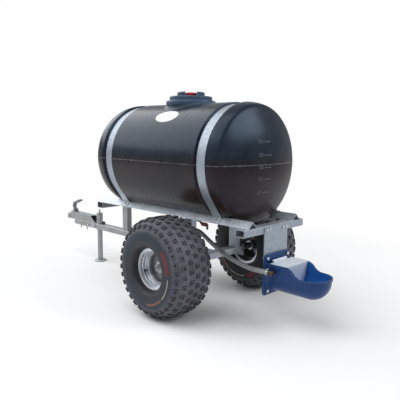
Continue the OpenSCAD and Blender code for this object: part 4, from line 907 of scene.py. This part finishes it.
class BOWSER_OT_levels(bpy.types.Operator):
    """Raise the level marks and their numbers on the rear dome"""

    bl_idname = "bowser.levels"
    bl_label = "Raise Level Marks"

    # Each mark's number and its height over the ground
    levels = {"300": 0.954, "250": 0.884, "200": 0.818, "150": 0.756, "100": 0.684}

    def execute(self, context):
        tank = context.scene.bowser_tank
        shape = bmesh.new()
        for number, height in self.levels.items():
            join(shape, self.mark(tank, height))
            join(shape, self.number(tank, number, height))
        add_piece("level_marks", shape, "tank_black", "chassis", finish="level_marks")
        return {"FINISHED"}

    def lay(self, tank, shape):
        """Lays a flat shape, drawn in the YZ plane, on the rear dome with half its thickness sunk."""
        axis_z = TANK_LOW.z + tank.barrel_r
        end_x = TANK_HIGH.x - tank.seam_proud
        for vert in shape.verts:
            reach = math.hypot(vert.co.y, vert.co.z - axis_z)
            vert.co.x += end_x - tank.dome_r + math.sqrt(tank.dome_r ** 2 - reach ** 2)

    def mark(self, tank, height):
        shape = block((tank.mark_thick, tank.mark_w, tank.mark_h))
        long_edges = [edge for edge in shape.edges if edge.calc_length() > tank.mark_w / 2]
        bmesh.ops.subdivide_edges(shape, edges=long_edges, cuts=6, use_grid_fill=True)
        move(shape, (0.0, 0.0, height))
        self.lay(tank, shape)
        return shape

    def number(self, tank, words, height):
        curve = bpy.data.curves.new("number", "FONT")
        curve.body = words
        curve.size = tank.digit_h
        curve.align_x = "RIGHT"
        curve.align_y = "CENTER"
        curve.extrude = tank.digit_thick
        made = bpy.data.objects.new("number", curve)
        mesh = bpy.data.meshes.new_from_object(made)
        shape = bmesh.new()
        shape.from_mesh(mesh)
        bpy.data.objects.remove(made)
        bpy.data.curves.remove(curve)
        bpy.data.meshes.remove(mesh)
        # The digits lie in XY and face +Z, and are stood up to face +X
        upright = Matrix.Rotation(math.pi / 2, 4, "Z") @ Matrix.Rotation(math.pi / 2, 4, "X")
        bmesh.ops.transform(shape, matrix=upright, verts=shape.verts)
        side = -tank.mark_w / 2 - tank.digit_h / 4
        move(shape, (0.0, side, height))
        self.lay(tank, shape)
        return shape


class BOWSER_OT_tyres(bpy.types.Operator):
    """Mould the two knobbly tyres"""

    bl_idname = "bowser.tyres"
    bl_label = "Mould Tyres"

    # Rows of studs on each side of the middle row, and the size of a stud's top as a share of its foot
    rows = 3
    top_share = 0.86
    # Rings on a sidewall, as depth under the tyre's side and drop under the tread's corner
    rings = (
        (0.0004, 0.002), (0.0, 0.005), (0.0, 0.009), (0.0014, 0.011),
        (0.0016, 0.021), (0.0004, 0.023), (0.0006, 0.026), (0.0018, 0.028),
    )

    def execute(self, context):
        wheels = context.scene.bowser_wheels
        for name, turn in (("left", math.pi), ("right", 0.0)):
            low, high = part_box("tyre_" + name)
            shape = self.carcass(wheels)
            join(shape, self.tread(wheels))
            bmesh.ops.rotate(shape, cent=ORIGIN, matrix=Matrix.Rotation(turn, 3, "Z"), verts=shape.verts)
            move(shape, (low + high) / 2)
            add_piece("knobbly_tyre_" + name, shape, "tyre_rubber", "wheel_" + name, ("tyre_" + name,))
        return {"FINISHED"}

    def carcass(self, wheels):
        """The tyre without its studs, from the middle of the tread to the bead and back."""
        corner = wheels.tread_corner
        bead = wheels.bead_corner
        tread_r = TYRE_R - wheels.stud_rise
        ring_r = tread_r - corner
        half = [(0.0, tread_r)]
        half += arc((TYRE_HALF - corner, ring_r), corner, 90.0, 8.0, 9)
        half += [(TYRE_HALF - depth, ring_r - drop) for depth, drop in self.rings]
        half += arc((TYRE_HALF - bead, wheels.bead_r + bead), bead - wheels.wall_inset, -8.0, -90.0, 8)
        half += [(wheels.bead_y, wheels.bead_r), (wheels.bead_y, wheels.seat_r)]
        section = half + [(-y, r) for y, r in reversed(half[1:])]
        return turned([(0.0, y, r) for y, r in section], AXIS_Y, ORIGIN, steps=128, closed=True)

    def tread(self, wheels):
        """Rows of studs across the tread and round onto the shoulders."""
        corner = wheels.tread_corner
        flat = TYRE_HALF - corner
        ring_r = TYRE_R - wheels.stud_rise - corner
        shape = bmesh.new()
        for index in range(-self.rows, self.rows + 1):
            side = math.copysign(1.0, index)
            run = abs(index) * wheels.row_step
            hub = Matrix.Translation((0.0, side * min(run, flat), ring_r))
            lean = Matrix.Rotation(-side * max(0.0, run - flat) / corner, 4, "X")
            seat = hub @ lean @ Matrix.Translation((0.0, 0.0, corner))
            join(shape, self.row(wheels, seat, index % 2 / 2))
        return shape

    def row(self, wheels, seat, stagger):
        """One stud, carried round the axle."""
        step = math.tau / wheels.stud_count
        shape = self.stud(wheels)
        turn = Matrix.Rotation(stagger * step, 4, "Y")
        bmesh.ops.transform(shape, matrix=turn @ seat, verts=shape.verts)
        bmesh.ops.spin(
            shape, geom=shape.verts[:] + shape.edges[:] + shape.faces[:], cent=ORIGIN, axis=AXIS_Y,
            angle=math.tau - step, steps=wheels.stud_count - 1, use_duplicate=True,
        )
        return shape

    def stud(self, wheels):
        """A square block with drawn-in sides, soft edges and a dished top."""
        rise = wheels.stud_rise + wheels.stud_root
        shape = block((wheels.stud_size, wheels.stud_size, rise))
        move(shape, (0.0, 0.0, rise / 2 - wheels.stud_root))
        top = max(shape.faces, key=lambda face: face.calc_center_median().z)
        bmesh.ops.scale(shape, vec=(self.top_share, self.top_share, 1.0), verts=top.verts)
        upper = [edge for edge in shape.edges if max(vert.co.z for vert in edge.verts) > 0.0]
        soften(shape, upper, wheels.stud_soft, 1)
        top = max(shape.faces, key=lambda face: (face.calc_center_median().z, face.calc_area()))
        bmesh.ops.inset_region(
            shape, faces=[top], thickness=wheels.stud_margin, depth=-wheels.stud_dish, use_even_offset=True
        )
        return shape


class BOWSER_OT_rims(bpy.types.Operator):
    """Roll the lips and steps of the two rims"""

    bl_idname = "bowser.rims"
    bl_label = "Roll Rims"

    # Rolled steps on the inside of a rim, as place across from its middle and radius
    steps = ((0.0868, 0.1000), (0.0720, 0.0970), (0.0560, 0.0955), (0.0445, 0.0830))
    # A step's thickness as a share of the lip's
    step_share = 0.7

    def execute(self, context):
        wheels = context.scene.bowser_wheels
        for name in ("left", "right"):
            low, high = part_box("rim_" + name)
            half = (high.y - low.y) / 2
            flange_r = (high.z - low.z) / 2
            shape = bmesh.new()
            for side in (-1, 1):
                lip_y = side * (half - wheels.lip_r / 2)
                join(shape, self.ring(flange_r - wheels.lip_r, lip_y, wheels.lip_r))
                for place, radius in self.steps:
                    join(shape, self.ring(radius, side * place, wheels.lip_r * self.step_share))
            move(shape, (low + high) / 2)
            add_piece("rim_lip_" + name, shape, "wheel_steel", "wheel_" + name)
        return {"FINISHED"}

    def ring(self, radius, y, thick):
        """A round bead turned about the axle."""
        section = arc((y, radius), thick, 0.0, 324.0, 9)
        return turned([(0.0, y, r) for y, r in section], AXIS_Y, ORIGIN, steps=96, closed=True)


class BOWSER_OT_bowl(bpy.types.Operator):
    """Round the corner between the bowl and its flange"""

    bl_idname = "bowser.bowl"
    bl_label = "Round Bowl"

    def execute(self, context):
        bowl = context.scene.bowser_bowl
        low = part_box("bowl")[0]
        hub = Vector((low.x + bowl.flange, 0.0, low.z + bowl.axis_up))
        quarter = arc((1.0, 1.0), 1.0, 180.0, 270.0, 8)
        hollow = [(bowl.blend_run * x, bowl.bowl_r + bowl.blend_rise * r) for x, r in quarter]
        section = hollow + [(bowl.blend_run, bowl.bowl_r - bowl.sunk), (0.0, bowl.bowl_r - bowl.sunk)]
        shape = bmesh.new()
        chain = outline(shape, [(hub.x + x, -r, hub.z) for x, r in section], closed=True)
        first = only(bmesh.types.BMEdge, chain)
        spun = bmesh.ops.spin(shape, geom=chain, cent=hub, axis=AXIS_X, angle=math.pi, steps=40)
        for end in (first, only(bmesh.types.BMEdge, spun["geom_last"])):
            draw_out(shape, end, (0.0, 0.0, bowl.blend_up))
        bmesh.ops.holes_fill(shape, edges=shape.edges, sides=len(section))
        bmesh.ops.recalc_face_normals(shape, faces=shape.faces)
        add_piece("bowl_blend", shape, "bowl_blue", "chassis")
        return {"FINISHED"}


class BOWSER_OT_finishes(bpy.types.Operator):
    """Give every carried-over part the finish of its material slot"""

    bl_idname = "bowser.finishes"
    bl_label = "Finish Parts"

    def execute(self, context):
        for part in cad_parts.values():
            for slot in part.material_slots:
                slot.material = finish_for(slot.material.name.split(".")[0])
        return {"FINISHED"}


class BOWSER_OT_stage(bpy.types.Operator):
    """Lay the pale floor and hang the studio lamps"""

    bl_idname = "bowser.stage"
    bl_label = "Set Stage"

    # Each lamp's place, width and height; its power is a setting
    lamps = {
        "key": ((0.2, -1.8, 4.2), (4.0, 4.0)),
        "side": ((-6.0, -1.5, 5.0), (9.2, 5.4)),
        "back": ((3.96, 1.84, 2.97), (2.9, 1.8)),
    }
    sky_colour = (0.94, 0.97, 1.0, 1.0)

    def execute(self, context):
        context.scene.view_settings.view_transform = "Standard"
        stage = context.scene.bowser_stage
        self.sky(context.scene, stage)
        self.floor(context.scene, stage)
        for name, (place, size) in self.lamps.items():
            self.lamp(name + "_lamp", place, size, getattr(stage, name))
        return {"FINISHED"}

    def sky(self, scene, stage):
        """Even light from all round, over a white background."""
        scene.world = bpy.data.worlds.new("studio")
        scene.world.use_nodes = True
        nodes = Nodes(scene.world.node_tree)
        light = nodes.node("ShaderNodeBackground", {"Color": self.sky_colour, "Strength": stage.sky})
        white = nodes.node("ShaderNodeBackground", {"Color": WHITE, "Strength": 1.0})
        both = nodes.node("ShaderNodeMixShader", {0: nodes.seen(), 1: light, 2: white})
        nodes.set(nodes.tree.nodes["World Output"], {"Surface": both})

    def floor(self, scene, stage):
        """A pale disc that keeps the shadow near the object and fades to white away from it."""
        shape = bmesh.new()
        bmesh.ops.create_circle(shape, cap_ends=True, segments=64, radius=stage.floor_r)
        mesh = bpy.data.meshes.new("floor")
        shape.to_mesh(mesh)
        shape.free()
        pale = Finish("floor_pale", {"Base Color": opaque(scene.bowser_colours.floor), "Roughness": 0.9})
        far = pale.along("X").hypot(pale.along("Y")).rise(stage.shade_r / 2, stage.shade_r)
        white = pale.node("ShaderNodeEmission", {"Color": WHITE, "Strength": 1.0})
        lit = Reading(pale, pale.shader.outputs[0])
        both = pale.node("ShaderNodeMixShader", {0: far * pale.seen(), 1: lit, 2: white})
        pale.set(pale.tree.nodes["Material Output"], {"Surface": both})
        mesh.materials.append(pale.material)
        placed("floor", mesh)

    def lamp(self, name, place, size, power):
        """A large lamp that points at the middle of the object."""
        data = bpy.data.lights.new(name, "AREA")
        data.shape = "RECTANGLE"
        data.size, data.size_y = size
        data.energy = power
        middle = (CAD_BOX[0] + CAD_BOX[1]) / 2
        aim = (middle - Vector(place)).to_track_quat("-Z", "Y")
        placed(name, data).matrix_world = Matrix.Translation(place) @ aim.to_matrix().to_4x4()


STEPS = (
    BOWSER_OT_camera, BOWSER_OT_hose, BOWSER_OT_tank, BOWSER_OT_label, BOWSER_OT_levels,
    BOWSER_OT_tyres, BOWSER_OT_rims, BOWSER_OT_bowl, BOWSER_OT_finishes, BOWSER_OT_stage,
)
GROUPS = {
    "bowser_view": BowserView, "bowser_hose": BowserHose, "bowser_tank": BowserTank,
    "bowser_wheels": BowserWheels, "bowser_bowl": BowserBowl, "bowser_colours": BowserColours,
    "bowser_stage": BowserStage,
}


class BOWSER_PT_panel(bpy.types.Panel):
    """Lists the steps that dress the bowser"""

    bl_idname = "BOWSER_PT_panel"
    bl_label = "Water Bowser"
    bl_space_type = "VIEW_3D"
    bl_region_type = "UI"
    bl_category = "Bowser"

    def draw(self, context):
        for step in STEPS:
            self.layout.operator(step.bl_idname)
        for name, group in GROUPS.items():
            box = self.layout.box()
            box.label(text=group.__doc__)
            for key in group.__annotations__:
                box.prop(getattr(context.scene, name), key)


def register():
    for group in GROUPS.values():
        bpy.utils.register_class(group)
    for name, group in GROUPS.items():
        setattr(bpy.types.Scene, name, PointerProperty(type=group))
    for step in STEPS:
        bpy.utils.register_class(step)
    bpy.utils.register_class(BOWSER_PT_panel)


def unregister():
    bpy.utils.unregister_class(BOWSER_PT_panel)
    for step in reversed(STEPS):
        bpy.utils.unregister_class(step)
    for name in GROUPS:
        delattr(bpy.types.Scene, name)
    for group in reversed(GROUPS.values()):
        bpy.utils.unregister_class(group)


def main():
    register()
    bpy.ops.bowser.camera()
    bpy.ops.bowser.hose()
    bpy.ops.bowser.tank()
    bpy.ops.bowser.label()
    bpy.ops.bowser.levels()
    bpy.ops.bowser.tyres()
    bpy.ops.bowser.rims()
    bpy.ops.bowser.bowl()
    bpy.ops.bowser.finishes()
    bpy.ops.bowser.stage()


if __name__ == "__main__":
    main()
